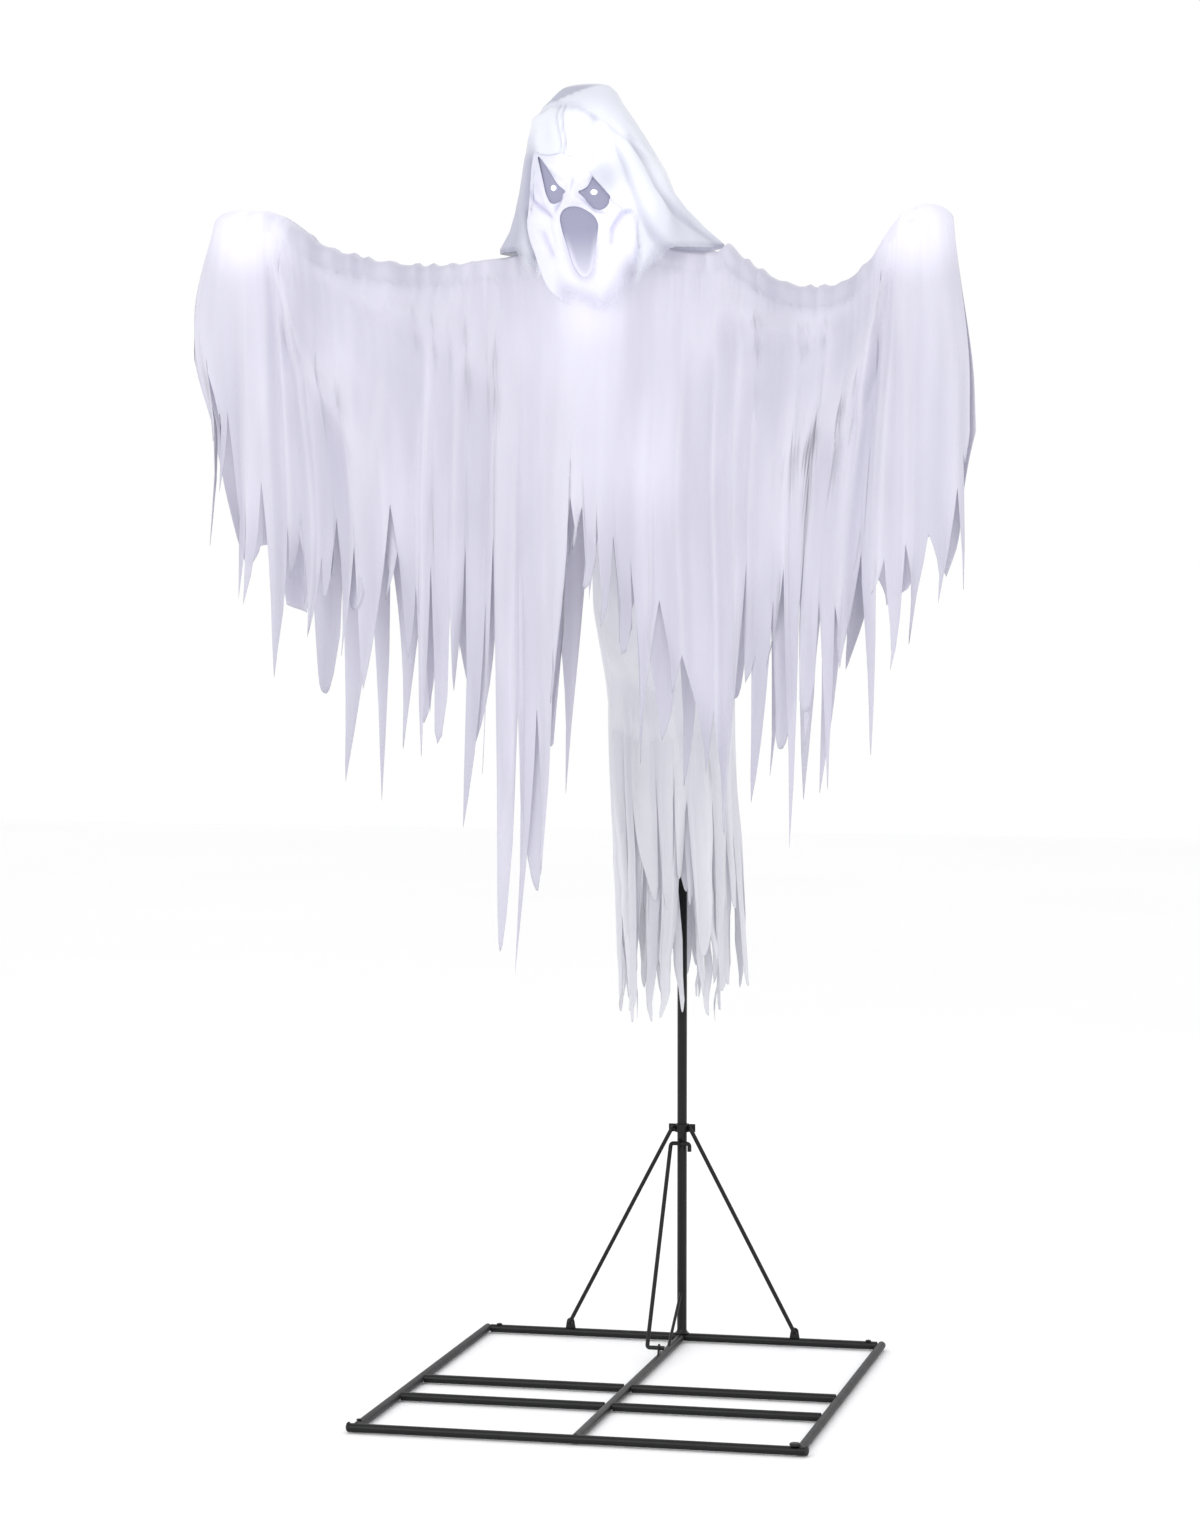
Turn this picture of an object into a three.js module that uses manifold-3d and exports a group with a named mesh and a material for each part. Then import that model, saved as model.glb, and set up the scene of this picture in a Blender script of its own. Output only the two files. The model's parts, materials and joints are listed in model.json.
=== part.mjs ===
// Animated ghost figure: a hooded ghost in hanging, tattered cloth on a black tubular stand.
// Millimetres, +Z up. The origin is on the floor under the foot of the pole. The ghost faces -Y.

import * as THREE from 'three';
import { mergeVertices } from 'three/addons/utils/BufferGeometryUtils.js';
import Module from 'manifold-3d';

const wasm = await Module();
wasm.setup();

// Clearances
const seatGap = 0.3;
const runningGap = 0.6;

// Base frame
const tube = 16;
const baseWidth = 813;
const baseDepth = 939;
const rearCrossAt = 502;
const frontCrossAt = 665;
const tubeOverhang = 11;
const endCapLength = 5;
const boltShank = 5;
const boltHead = 11;
const boltInset = 26;
const knobDiameter = 19;
const knobHeight = 6;

// Pole
const poleTube = 19;
const poleWall = 1.5;
const poleJointHeight = 985;
const poleTopHeight = 1205;
const poleSpigot = 40;
const weldFlare = 5;

// Stays and gusset
const stayRod = 8;
const gussetRod = 6;
const collarHeight = 433;
const collarWall = 4;
const collarLength = 16;
const earReach = 19;
const lugPlate = 3;
const lugLift = 13;
const sideLugAt = 231;
const frontLugAt = 220;
const hookHeight = 403;
const hookReach = 18;
const gussetTopHeight = 96;
const gussetFootAt = 130;

// Drive at the top of the pole
const driveWidth = 78;
const driveDepth = 58;
const driveGrip = 40;
const driveHeight = 100;
const driveBase = poleTopHeight - driveGrip;
const shaftDiameter = 12;
const shaftDepth = 44;
const flangeDiameter = 36;
const flangeThickness = 8;

// Figure: turned about the pole, and carried well in front of it
const figureTurn = THREE.MathUtils.degToRad(-4.4);
const reach = 600;
const gooseneckTube = 22;
const gooseneckLift = poleTopHeight + 195;
const gooseneckBend = 90;
const shoulderAbovePole = 900;
const shoulderHeight = poleTopHeight + shoulderAbovePole;
const gooseneckRise = shoulderHeight - 315;
const shoulderHalf = 178;
const shoulderTube = 16;
const armRod = 10;
const armPlug = 36;

// Torso
const torsoBase = shoulderHeight - 385;
const torsoWall = 3;
const torsoHalfWidth = 92;
const torsoHalfDepth = 62;

// Neck and head
const neckDriveDiameter = 54;
const neckDriveHeight = 40;
const neckShaft = 8;
const headPlateHeight = shoulderHeight + 71;
const headTop = shoulderHeight + 303;
const headWall = 3;
const apronHalf = 48;
const headRadius = 104;
const headSkirtBase = shoulderHeight - 43;
const maskThickness = 4;
const maskSlack = 0.6;
const headSides = 24;
const screenThickness = 2;
const faceFlatness = 20;

// Hands
const domeDiameter = 92;
const domeHeight = 26;
const domeWall = 2.5;
const lampDiameter = 40;
const lampHeight = 16;
const handReach = 690;

// Control box
const boxWidth = 76;
const boxHeight = 104;
const boxHeightAt = shoulderHeight - 200;
const boxBack = 92;
const buttonDiameter = 16;
const buttonStand = 4;
const buttonWell = 9;
const switchWidth = 8;
const switchTravel = 6;

// Cloth
const clothThickness = 3;
const casingRadius = 17;
const casingRuffle = 2.5;
const casingSlack = 0.7;
const casingEnd = 500;
const panelEnd = 505;
const sleeveGap = 6;
const lampStand = 8;
const foldDepth = 15;
const slitHalf = 40;
const slitHeight = shoulderHeight - 305;
const hoodThickness = 3.5;

const arms = {
  left: { side: -1, bends: [[440, 640, -4]], hand: 652, handTop: shoulderHeight + 117 },
  right: { side: 1, bends: [[385, 636, -58], [485, 655, -62]], hand: 645, handTop: shoulderHeight + 92 },
};

// Turns heights measured from the shoulder bar into heights above the floor.
function fromShoulder(outline) {
  return outline.map(([x, z]) => [x, shoulderHeight + z]);
}

// Hem of the robe's front, from left to right: each point of a strip stands between two notches.
const frontHem = fromShoulder([
  [-505, -450], [-486, -657], [-455, -465], [-414, -765], [-367, -419], [-315, -885],
  [-290, -533], [-264, -865], [-240, -507], [-218, -1021], [-182, -477], [-148, -1250],
  [-130, -815], [-112, -1296], [-86, -775], [-58, -1103], [-8, -421], [38, -673],
  [88, -537], [114, -868], [144, -565], [170, -768], [196, -685], [283, -1025],
  [318, -424], [345, -965], [374, -505], [401, -1045], [430, -450], [470, -935],
  [505, -605],
]);

const coats = {
  blackCoat: new THREE.MeshStandardMaterial({ color: 0x17171a, roughness: 0.42, metalness: 0.55 }),
  zincBolt: new THREE.MeshStandardMaterial({ color: 0x1d1d20, roughness: 0.35, metalness: 0.8 }),
  capPlastic: new THREE.MeshStandardMaterial({ color: 0x0e0e10, roughness: 0.6, metalness: 0 }),
  casePlastic: new THREE.MeshStandardMaterial({ color: 0x222226, roughness: 0.55, metalness: 0 }),
  torsoPlastic: new THREE.MeshStandardMaterial({ color: 0xe6e6ea, roughness: 0.5, metalness: 0 }),
  maskVinyl: new THREE.MeshStandardMaterial({ color: 0xf6f6ff, roughness: 0.45, metalness: 0 }),
  screenMesh: new THREE.MeshStandardMaterial({ color: 0xaba8c0, roughness: 0.8, metalness: 0 }),
  lampLens: new THREE.MeshStandardMaterial({ color: 0xf4f8ff, roughness: 0.3, metalness: 0 }),
  buttonRed: new THREE.MeshStandardMaterial({ color: 0xb02a2a, roughness: 0.45, metalness: 0 }),
  ghostCloth: new THREE.MeshStandardMaterial({ color: 0xdcdcea, roughness: 0.85, metalness: 0 }),
};

const model = new THREE.Group();
const stand = new THREE.Group();
const figure = new THREE.Group();
figure.rotation.z = figureTurn;
model.add(stand, figure);

function at(x, forward, z) {
  return new THREE.Vector3(x, -forward, z);
}

function volumeOf(positions, index) {
  let volume = 0;
  const corner = (k) => new THREE.Vector3().fromArray(positions, index[k] * 3);
  for (let k = 0; k < index.length; k += 3) {
    volume += corner(k).dot(corner(k + 1).cross(corner(k + 2))) / 6;
  }
  return volume;
}

// One closed mesh with shared corners, no empty faces and every face pointing out.
function closed(geometry) {
  const bare = geometry.index ? geometry.toNonIndexed() : geometry;
  for (const key of Object.keys(bare.attributes)) {
    if (key !== 'position') bare.deleteAttribute(key);
  }
  const merged = mergeVertices(bare, 1e-3);
  const positions = merged.attributes.position.array;
  const faces = [];
  for (let k = 0; k < merged.index.count; k += 3) {
    const [a, b, c] = [0, 1, 2].map((step) => merged.index.array[k + step]);
    if (a !== b && b !== c && a !== c) faces.push(a, b, c);
  }
  if (volumeOf(positions, faces) < 0) faces.reverse();
  merged.setIndex(faces);
  return merged;
}

function toSolid(geometry) {
  const shape = closed(geometry);
  const vertProperties = new Float32Array(shape.attributes.position.array);
  const triVerts = new Uint32Array(shape.index.array);
  return new wasm.Manifold(new wasm.Mesh({ numProp: 3, vertProperties, triVerts }));
}

function toGeometry(solid) {
  const mesh = solid.getMesh();
  const geometry = new THREE.BufferGeometry();
  geometry.setAttribute('position', new THREE.BufferAttribute(new Float32Array(mesh.vertProperties), 3));
  geometry.setIndex(Array.from(mesh.triVerts));
  return geometry;
}

function cut(base, ...tools) {
  return toGeometry(tools.reduce((solid, tool) => solid.subtract(toSolid(tool)), toSolid(base)));
}

function join(base, ...others) {
  return toGeometry(others.reduce((solid, other) => solid.add(toSolid(other)), toSolid(base)));
}

function overlapOf(base, tool) {
  return toGeometry(toSolid(base).intersect(toSolid(tool)));
}

function addPiece(parent, name, geometry, coat) {
  const mesh = new THREE.Mesh(closed(geometry), coats[coat]);
  mesh.name = name;
  parent.add(mesh);
}

// Round shapes have a flat facet towards each axis, and their diameter is measured across the flats.
function lathe(profile, sides = 16) {
  const scale = 1 / Math.cos(Math.PI / sides);
  const points = profile.map(([radius, z]) => new THREE.Vector2(radius * scale, z));
  const geometry = new THREE.LatheGeometry(points, sides);
  geometry.rotateY(Math.PI / sides);
  geometry.rotateX(Math.PI / 2);
  return geometry.rotateZ(Math.PI);
}

function roundBar(diameter, length, sides = 16) {
  const r = diameter / 2;
  return lathe([[0, 0], [r, 0], [r, length], [0, length]], sides);
}

function alongX(geometry) {
  return geometry.rotateY(Math.PI / 2);
}

function alongY(geometry) {
  return geometry.rotateX(-Math.PI / 2);
}

function box(width, depth, height) {
  return new THREE.BoxGeometry(width, depth, height);
}

// A bent rod's centre line: straight runs with a round bend at each inner corner.
class RodLine extends THREE.Curve {
  constructor(corners, bendRadius, bendSteps = 4) {
    super();
    this.points = [corners[0]];
    for (let k = 1; k + 1 < corners.length; k++) {
      this.points.push(...RodLine.bend(corners[k - 1], corners[k], corners[k + 1], bendRadius, bendSteps));
    }
    this.points.push(corners[corners.length - 1]);
  }

  static bend(before, corner, after, radius, steps) {
    const back = before.clone().sub(corner).normalize();
    const ahead = after.clone().sub(corner).normalize();
    const half = Math.acos(THREE.MathUtils.clamp(back.dot(ahead), -1, 1)) / 2;
    const run = radius / Math.tan(half);
    const start = corner.clone().addScaledVector(back, run);
    const end = corner.clone().addScaledVector(ahead, run);
    const arc = new THREE.QuadraticBezierCurve3(start, corner, end);
    return arc.getPoints(steps);
  }

  getPoint(t) {
    const place = t * (this.points.length - 1);
    const first = Math.min(Math.floor(place), this.points.length - 2);
    return this.points[first].clone().lerp(this.points[first + 1], place - first);
  }

  getPointAt(u) {
    return this.getPoint(u);
  }

  getTangentAt(u) {
    const here = Math.round(u * (this.points.length - 1));
    const last = this.points.length - 1;
    const before = this.points[Math.max(here - 1, 0)];
    const mid = this.points[here];
    const after = this.points[Math.min(here + 1, last)];
    const into = here > 0 ? mid.clone().sub(before).normalize() : new THREE.Vector3();
    const out = here < last ? after.clone().sub(mid).normalize() : new THREE.Vector3();
    return into.add(out).normalize();
  }
}

function rod(corners, diameter, bendRadius, sides = 10) {
  const line = new RodLine(corners, bendRadius);
  const corner = diameter / 2 / Math.cos(Math.PI / sides);
  const ring = [];
  for (let k = 0; k < sides; k++) {
    const angle = (2 * Math.PI * (k + 0.5)) / sides;
    ring.push(new THREE.Vector2(corner * Math.cos(angle), corner * Math.sin(angle)));
  }
  const steps = line.points.length - 1;
  return new THREE.ExtrudeGeometry(new THREE.Shape(ring), { steps, extrudePath: line });
}

// A flat plate with an outline in two axes and a thickness along the third, centred on it.
function plate(outline, thickness) {
  const shape = new THREE.Shape(outline.map(([a, b]) => new THREE.Vector2(a, b)));
  const geometry = new THREE.ExtrudeGeometry(shape, { depth: thickness, bevelEnabled: false });
  return geometry.translate(0, 0, -thickness / 2);
}

function plateFacingY(outline, thickness) {
  return plate(outline, thickness).rotateX(Math.PI / 2);
}

function plateFacingX(outline, thickness) {
  return plate(outline, thickness).rotateX(Math.PI / 2).rotateZ(Math.PI / 2);
}

// A thin wall between two grids of points. Wrapped grids close on themselves along each row, and a
// capped one is roofed from side to side at its first row.
function shell(outer, inner, { wrap = false, capped = false } = {}) {
  const soup = [];
  const quad = (a, b, c, d) => soup.push(a, b, c, a, c, d);
  const columns = outer[0].length;
  const last = wrap ? columns : columns - 1;
  const end = outer.length - 1;
  for (let i = 0; i < last; i++) {
    const j = (i + 1) % columns;
    for (let row = 0; row < end; row++) {
      quad(outer[row][i], outer[row][j], outer[row + 1][j], outer[row + 1][i]);
      quad(inner[row][j], inner[row][i], inner[row + 1][i], inner[row + 1][j]);
    }
    quad(outer[end][i], outer[end][j], inner[end][j], inner[end][i]);
    if (!capped) quad(outer[0][j], outer[0][i], inner[0][i], inner[0][j]);
  }
  if (!wrap) {
    for (let row = 0; row < end; row++) {
      quad(outer[row][0], outer[row + 1][0], inner[row + 1][0], inner[row][0]);
      quad(outer[row + 1][last], outer[row][last], inner[row][last], inner[row + 1][last]);
    }
  }
  if (capped) {
    for (let i = 0; i < columns / 2; i++) {
      const [b, c, d] = [i + 1, columns - i - 1, (columns - i) % columns];
      quad(outer[0][b], outer[0][i], outer[0][d], outer[0][c]);
      quad(inner[0][i], inner[0][b], inner[0][c], inner[0][d]);
    }
  }
  return new THREE.BufferGeometry().setFromPoints(soup);
}

function middle(ring) {
  return ring.reduce((sum, point) => sum.add(point), new THREE.Vector3()).divideScalar(ring.length);
}

// A solid skinned over rings of points from one end to the other.
function loft(rings) {
  const soup = [];
  const columns = rings[0].length;
  const end = rings.length - 1;
  const first = middle(rings[0]);
  const final = middle(rings[end]);
  for (let i = 0; i < columns; i++) {
    const j = (i + 1) % columns;
    for (let row = 0; row < end; row++) {
      soup.push(rings[row][i], rings[row][j], rings[row + 1][j]);
      soup.push(rings[row][i], rings[row + 1][j], rings[row + 1][i]);
    }
    soup.push(first, rings[0][j], rings[0][i]);
    soup.push(final, rings[end][i], rings[end][j]);
  }
  return new THREE.BufferGeometry().setFromPoints(soup);
}

function smoothStep(value, low, high) {
  return THREE.MathUtils.smoothstep(value, low, high);
}

// Base frame

const axisHeight = tube / 2;
const halfWidth = baseWidth / 2;
const tubeFace = tube / 2 + seatGap;

function boltHole(x, y) {
  return roundBar(boltShank + 2 * seatGap, tube * 2, 12).translate(x, y, -tube / 2);
}

function crossBar(from, to, y) {
  return alongX(roundBar(tube, to - from)).translate(from, y, axisHeight);
}

function lengthBar(from, to, x) {
  return alongY(roundBar(tube, to - from)).translate(x, from, axisHeight);
}

function sideTube(side) {
  const length = baseDepth - tubeFace + tubeOverhang;
  const r = tube / 2;
  const dome = endCapLength;
  const profile = [
    [0, 0], [r, 0], [r, length - dome], [r * 0.87, length - dome * 0.45],
    [r * 0.5, length - dome * 0.1], [0, length],
  ];
  return alongY(lathe(profile)).translate(side * halfWidth, -baseDepth + tubeFace, axisHeight);
}

function cornerBolt(x, y) {
  const r = boltHead / 2;
  const profile = [
    [0, -tube + 2], [boltShank / 2, -tube + 2], [boltShank / 2, seatGap], [r, seatGap],
    [r, 1.6], [r * 0.75, 2.8], [0, 3.4],
  ];
  return lathe(profile, 12).translate(x, y, tube);
}

function cornerKnob(x, y) {
  const r = knobDiameter / 2;
  const profile = [
    [0, -tube + 2], [boltShank / 2, -tube + 2], [boltShank / 2, seatGap], [r * 0.6, seatGap],
    [r, 2], [r, knobHeight - 1.5], [r * 0.85, knobHeight], [0, knobHeight],
  ];
  return lathe(profile, 16).translate(x, y, tube);
}

function frontCap(side) {
  const r = tube / 2 + 1;
  const profile = [[0, 0], [r, 0], [r, 2.5], [r * 0.8, 4.5], [r * 0.45, 5.6], [0, 6]];
  const cap = alongX(lathe(profile));
  if (side < 0) cap.rotateZ(Math.PI);
  return cap.translate(side * (halfWidth + tubeOverhang + seatGap), -baseDepth, axisHeight + 1);
}

function buildBase() {
  const rearBoltX = halfWidth - boltInset;
  const frontBoltY = -baseDepth + boltInset;
  const knobX = halfWidth - tube / 2;
  const rear = crossBar(-halfWidth + tubeFace, halfWidth - tubeFace, 0);
  addPiece(stand, 'rear_tube', cut(rear, boltHole(-rearBoltX, 0), boltHole(rearBoltX, 0)), 'blackCoat');
  const front = crossBar(-halfWidth - tubeOverhang, halfWidth + tubeOverhang, -baseDepth);
  addPiece(stand, 'front_tube', cut(front, boltHole(knobX, -baseDepth)), 'blackCoat');
  addPiece(stand, 'side_tube_left', cut(sideTube(-1), boltHole(-halfWidth, frontBoltY)), 'blackCoat');
  addPiece(stand, 'side_tube_right', sideTube(1), 'blackCoat');
  addPiece(stand, 'centre_tube', lengthBar(-baseDepth + tubeFace, -tubeFace, 0), 'blackCoat');
  const rows = { rear: rearCrossAt, front: frontCrossAt };
  for (const [row, distance] of Object.entries(rows)) {
    const left = crossBar(-halfWidth + tubeFace, -tubeFace, -distance);
    const right = crossBar(tubeFace, halfWidth - tubeFace, -distance);
    addPiece(stand, `${row}_cross_tube_left`, left, 'blackCoat');
    addPiece(stand, `${row}_cross_tube_right`, right, 'blackCoat');
  }
  addPiece(stand, 'front_cap_left', frontCap(-1), 'capPlastic');
  addPiece(stand, 'front_cap_right', frontCap(1), 'capPlastic');
  addPiece(stand, 'corner_bolt_rear_left', cornerBolt(-rearBoltX, 0), 'zincBolt');
  addPiece(stand, 'corner_bolt_rear_right', cornerBolt(rearBoltX, 0), 'zincBolt');
  addPiece(stand, 'corner_bolt_front_left', cornerBolt(-halfWidth, frontBoltY), 'zincBolt');
  addPiece(stand, 'corner_knob', cornerKnob(knobX, -baseDepth), 'capPlastic');
}

// Pole, collar, stays and gusset

const hookAt = poleTube / 2 + seatGap + stayRod / 2;
const rodHole = stayRod + 2 * seatGap;
const lugEye = tube + lugLift;

function holeAlongY(x, z, length) {
  return alongY(roundBar(rodHole, length, 12)).translate(x, -length / 2, z);
}

function holeAlongX(y, z, length) {
  return alongX(roundBar(rodHole, length, 12)).translate(-length / 2, y, z);
}

function earOutline(foot, eye, radius) {
  const outline = [[-foot, 0]];
  for (let k = 0; k <= 6; k++) {
    const angle = Math.PI - (Math.PI * k) / 6;
    outline.push([radius * Math.cos(angle), eye + radius * Math.sin(angle)]);
  }
  outline.push([foot, 0]);
  return outline;
}

function sideLug(side) {
  const ear = plateFacingY(earOutline(10, lugLift - seatGap, 8), lugPlate);
  ear.translate(side * sideLugAt, 0, tube + seatGap);
  return cut(ear, holeAlongY(side * sideLugAt, lugEye, 20));
}

function frontLug() {
  const ear = plateFacingX(earOutline(9, lugLift - seatGap, 8), lugPlate);
  ear.translate(0, -frontLugAt, tube + seatGap);
  return cut(ear, holeAlongX(-frontLugAt, lugEye, 20));
}

function sideStay(side) {
  const front = -(lugPlate / 2 + stayRod / 2 + 1);
  const back = lugPlate / 2 + 6;
  const foot = side * sideLugAt;
  const head = side * earReach;
  const corners = [
    new THREE.Vector3(foot, back, lugEye),
    new THREE.Vector3(foot, front, lugEye),
    new THREE.Vector3(head, front - 4, collarHeight),
    new THREE.Vector3(head, back, collarHeight),
  ];
  return rod(corners, stayRod, 5);
}

function frontStay() {
  const corners = [
    at(hookReach * 0.6, frontLugAt, lugEye),
    at(-hookReach - 6, frontLugAt, lugEye),
    at(-hookReach - 2, hookAt, hookHeight),
    at(hookReach, hookAt, hookHeight),
    at(hookReach, hookAt, hookHeight - 16),
  ];
  return rod(corners, stayRod, 6);
}

function poleCollar() {
  const inner = poleTube / 2 + seatGap;
  const outer = inner + collarWall;
  const half = collarLength / 2;
  const ring = lathe([[inner, -half], [outer, -half], [outer, half], [inner, half], [inner, -half]]);
  const ears = box(2 * (earReach + stayRod), lugPlate, collarLength);
  const bore = roundBar(2 * inner, 40).translate(0, 0, -20);
  const whole = cut(join(ring, ears), bore, holeAlongY(-earReach, 0, 40), holeAlongY(earReach, 0, 40));
  return whole.translate(0, 0, collarHeight);
}

function lowerPole() {
  const r = poleTube / 2;
  const spigot = r - poleWall;
  const foot = tube + seatGap;
  const profile = [
    [0, foot], [r + weldFlare, foot], [r + weldFlare * 0.4, foot + weldFlare * 0.5],
    [r, foot + weldFlare * 1.4], [r, poleJointHeight], [spigot, poleJointHeight + 2],
    [spigot, poleJointHeight + poleSpigot], [0, poleJointHeight + poleSpigot],
  ];
  const tabReach = hookAt + stayRod;
  const tab = box(lugPlate, tabReach, stayRod * 2).translate(-lugPlate, -tabReach / 2, hookHeight);
  const tabHole = alongX(roundBar(rodHole, 12, 12)).translate(-lugPlate * 3, -hookAt, hookHeight);
  return cut(join(lathe(profile), tab), tabHole);
}

function upperPole() {
  const r = poleTube / 2;
  const bore = r - poleWall + seatGap;
  const base = poleJointHeight + seatGap + 2.3;
  const roof = poleJointHeight + poleSpigot + 4;
  const profile = [
    [0, roof], [bore, roof], [bore, base], [r, base], [r, poleTopHeight], [0, poleTopHeight],
  ];
  return lathe(profile);
}

function gusset() {
  const bar = rod([at(0, 4, gussetTopHeight + 8), at(0, gussetFootAt, tube - 2)], gussetRod, 5);
  const pole = roundBar(poleTube + 2 * seatGap, 300);
  const clear = alongY(roundBar(tube + 2 * seatGap, 400)).translate(0, -400, axisHeight);
  return cut(bar, pole, clear);
}

function buildPole() {
  addPiece(stand, 'pole_lower', lowerPole(), 'blackCoat');
  addPiece(stand, 'pole_upper', upperPole(), 'blackCoat');
  addPiece(stand, 'pole_collar', poleCollar(), 'blackCoat');
  addPiece(stand, 'pole_gusset', gusset(), 'blackCoat');
  addPiece(stand, 'lug_left', sideLug(-1), 'blackCoat');
  addPiece(stand, 'lug_right', sideLug(1), 'blackCoat');
  addPiece(stand, 'lug_front', frontLug(), 'blackCoat');
  addPiece(stand, 'stay_left', sideStay(-1), 'blackCoat');
  addPiece(stand, 'stay_right', sideStay(1), 'blackCoat');
  addPiece(stand, 'stay_front', frontStay(), 'blackCoat');
}

// Drive housing: two moulded halves clamped round the pole's top, with a boss for the shaft

function driveHalf(side) {
  const halfX = driveWidth / 2;
  const corner = 14;
  const outline = [];
  for (const [quadrant, sx, sy] of [[0, 1, 1], [1, -1, 1], [2, -1, -1], [3, 1, -1]]) {
    for (let k = 0; k <= 3; k++) {
      const angle = (quadrant + k / 3) * (Math.PI / 2);
      const cx = sx * (halfX - corner);
      const cy = sy * (driveDepth / 2 - corner);
      outline.push([cx + corner * Math.cos(angle), cy + corner * Math.sin(angle)]);
    }
  }
  const shape = new THREE.Shape(outline.map(([x, y]) => new THREE.Vector2(x, y)));
  const bevel = 4;
  const options = {
    depth: driveHeight - 2 * bevel, bevelThickness: bevel, bevelSize: bevel, bevelOffset: -bevel, bevelSegments: 2,
  };
  const block = new THREE.ExtrudeGeometry(shape, options).translate(0, 0, driveBase + bevel);
  const socket = poleTube + 2 * seatGap;
  const neck = roundBar(socket + 12, 16).translate(0, 0, driveBase - 12);
  const poleBore = roundBar(socket, poleTopHeight + seatGap - driveBase + 20).translate(0, 0, driveBase - 20);
  const shaftBore = roundBar(shaftDiameter + 2 * seatGap, shaftDepth + 20);
  shaftBore.translate(0, 0, driveBase + driveHeight - shaftDepth - seatGap);
  const other = box(200, 100, 400).translate(0, -side * (50 - seatGap / 2), driveBase);
  return cut(join(block, neck), poleBore, shaftBore, other);
}

function turnShaft() {
  const top = driveBase + driveHeight;
  const flangeBase = top + runningGap;
  const flangeTop = flangeBase + flangeThickness;
  const r = shaftDiameter / 2;
  const spigot = gooseneckTube / 2 - 3;
  const profile = [
    [0, top - shaftDepth], [r, top - shaftDepth], [r, flangeBase], [flangeDiameter / 2, flangeBase],
    [flangeDiameter / 2, flangeTop], [spigot, flangeTop], [spigot, flangeTop + 30], [0, flangeTop + 30],
  ];
  return lathe(profile);
}

const gooseneckFoot = driveBase + driveHeight + runningGap + flangeThickness + seatGap;
const shoulderUnderside = shoulderHeight - shoulderTube / 2;
const gooseneckSlope = (gooseneckRise - gooseneckLift) / reach;

function gooseneckBar(diameter) {
  const corners = [
    at(0, 0, gooseneckFoot), at(0, 0, gooseneckLift), at(0, reach, gooseneckRise),
    at(0, reach, shoulderUnderside - seatGap),
  ];
  return rod(corners, diameter, gooseneckBend, 12);
}

function gooseneck() {
  const bore = roundBar(gooseneckTube - 6 + 2 * seatGap, 36).translate(0, 0, gooseneckFoot - 2);
  return cut(gooseneckBar(gooseneckTube), bore);
}

function shoulderBar() {
  const length = 2 * shoulderHalf;
  const bar = alongX(roundBar(shoulderTube, length)).translate(-shoulderHalf, -reach, shoulderHeight);
  const bore = armRod + 2 * seatGap;
  const plug = armPlug + 2;
  const left = alongX(roundBar(bore, plug + 5, 12)).translate(-shoulderHalf - 5, -reach, shoulderHeight);
  const right = alongX(roundBar(bore, plug + 5, 12)).translate(shoulderHalf - plug, -reach, shoulderHeight);
  return cut(bar, left, right);
}

// Torso: two moulded half shells on the gooseneck under the shoulder bar

const torsoTop = shoulderUnderside - seatGap;
const torsoStations = [[0, 0.66], [0.12, 0.8], [0.35, 0.92], [0.62, 1], [0.85, 0.96], [0.95, 0.82], [1, 0.6]];

function torsoLoft(offset) {
  const rings = torsoStations.map(([share, width], index) => {
    const lift = index === 0 ? -offset : index === torsoStations.length - 1 ? offset : 0;
    const z = THREE.MathUtils.lerp(torsoBase, torsoTop, share) + lift;
    const ring = [];
    for (let k = 0; k < 24; k++) {
      const angle = (2 * Math.PI * k) / 24;
      const x = (torsoHalfWidth * width + offset) * Math.sin(angle);
      const forward = (torsoHalfDepth * width + offset) * Math.cos(angle);
      ring.push(at(x, reach + forward, z));
    }
    return ring;
  });
  return loft(rings);
}

function torsoHalf(side) {
  const other = box(300, 200, 600).translate(0, -reach - side * (100 - seatGap / 2), torsoBase + 200);
  return cut(torsoLoft(0), torsoLoft(-torsoWall), gooseneckBar(gooseneckTube + 2 * seatGap), other);
}

function torsoLamp(x, z, front) {
  const lamp = alongY(roundBar(30, 46)).translate(x, -reach - front, z);
  return cut(lamp, torsoLoft(seatGap));
}

function buildTorso() {
  addPiece(figure, 'turn_shaft', turnShaft(), 'zincBolt');
  addPiece(figure, 'gooseneck_tube', gooseneck(), 'blackCoat');
  addPiece(figure, 'shoulder_bar', shoulderBar(), 'blackCoat');
  addPiece(figure, 'torso_front_shell', torsoHalf(-1), 'torsoPlastic');
  addPiece(figure, 'torso_rear_shell', torsoHalf(1), 'torsoPlastic');
  addPiece(figure, 'chest_lamp', torsoLamp(22, torsoBase + 216, torsoHalfDepth + lampStand), 'lampLens');
  addPiece(figure, 'waist_lamp', torsoLamp(44, torsoBase + 42, torsoHalfDepth - lampStand), 'lampLens');
}

// Control box on the back of the torso

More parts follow.
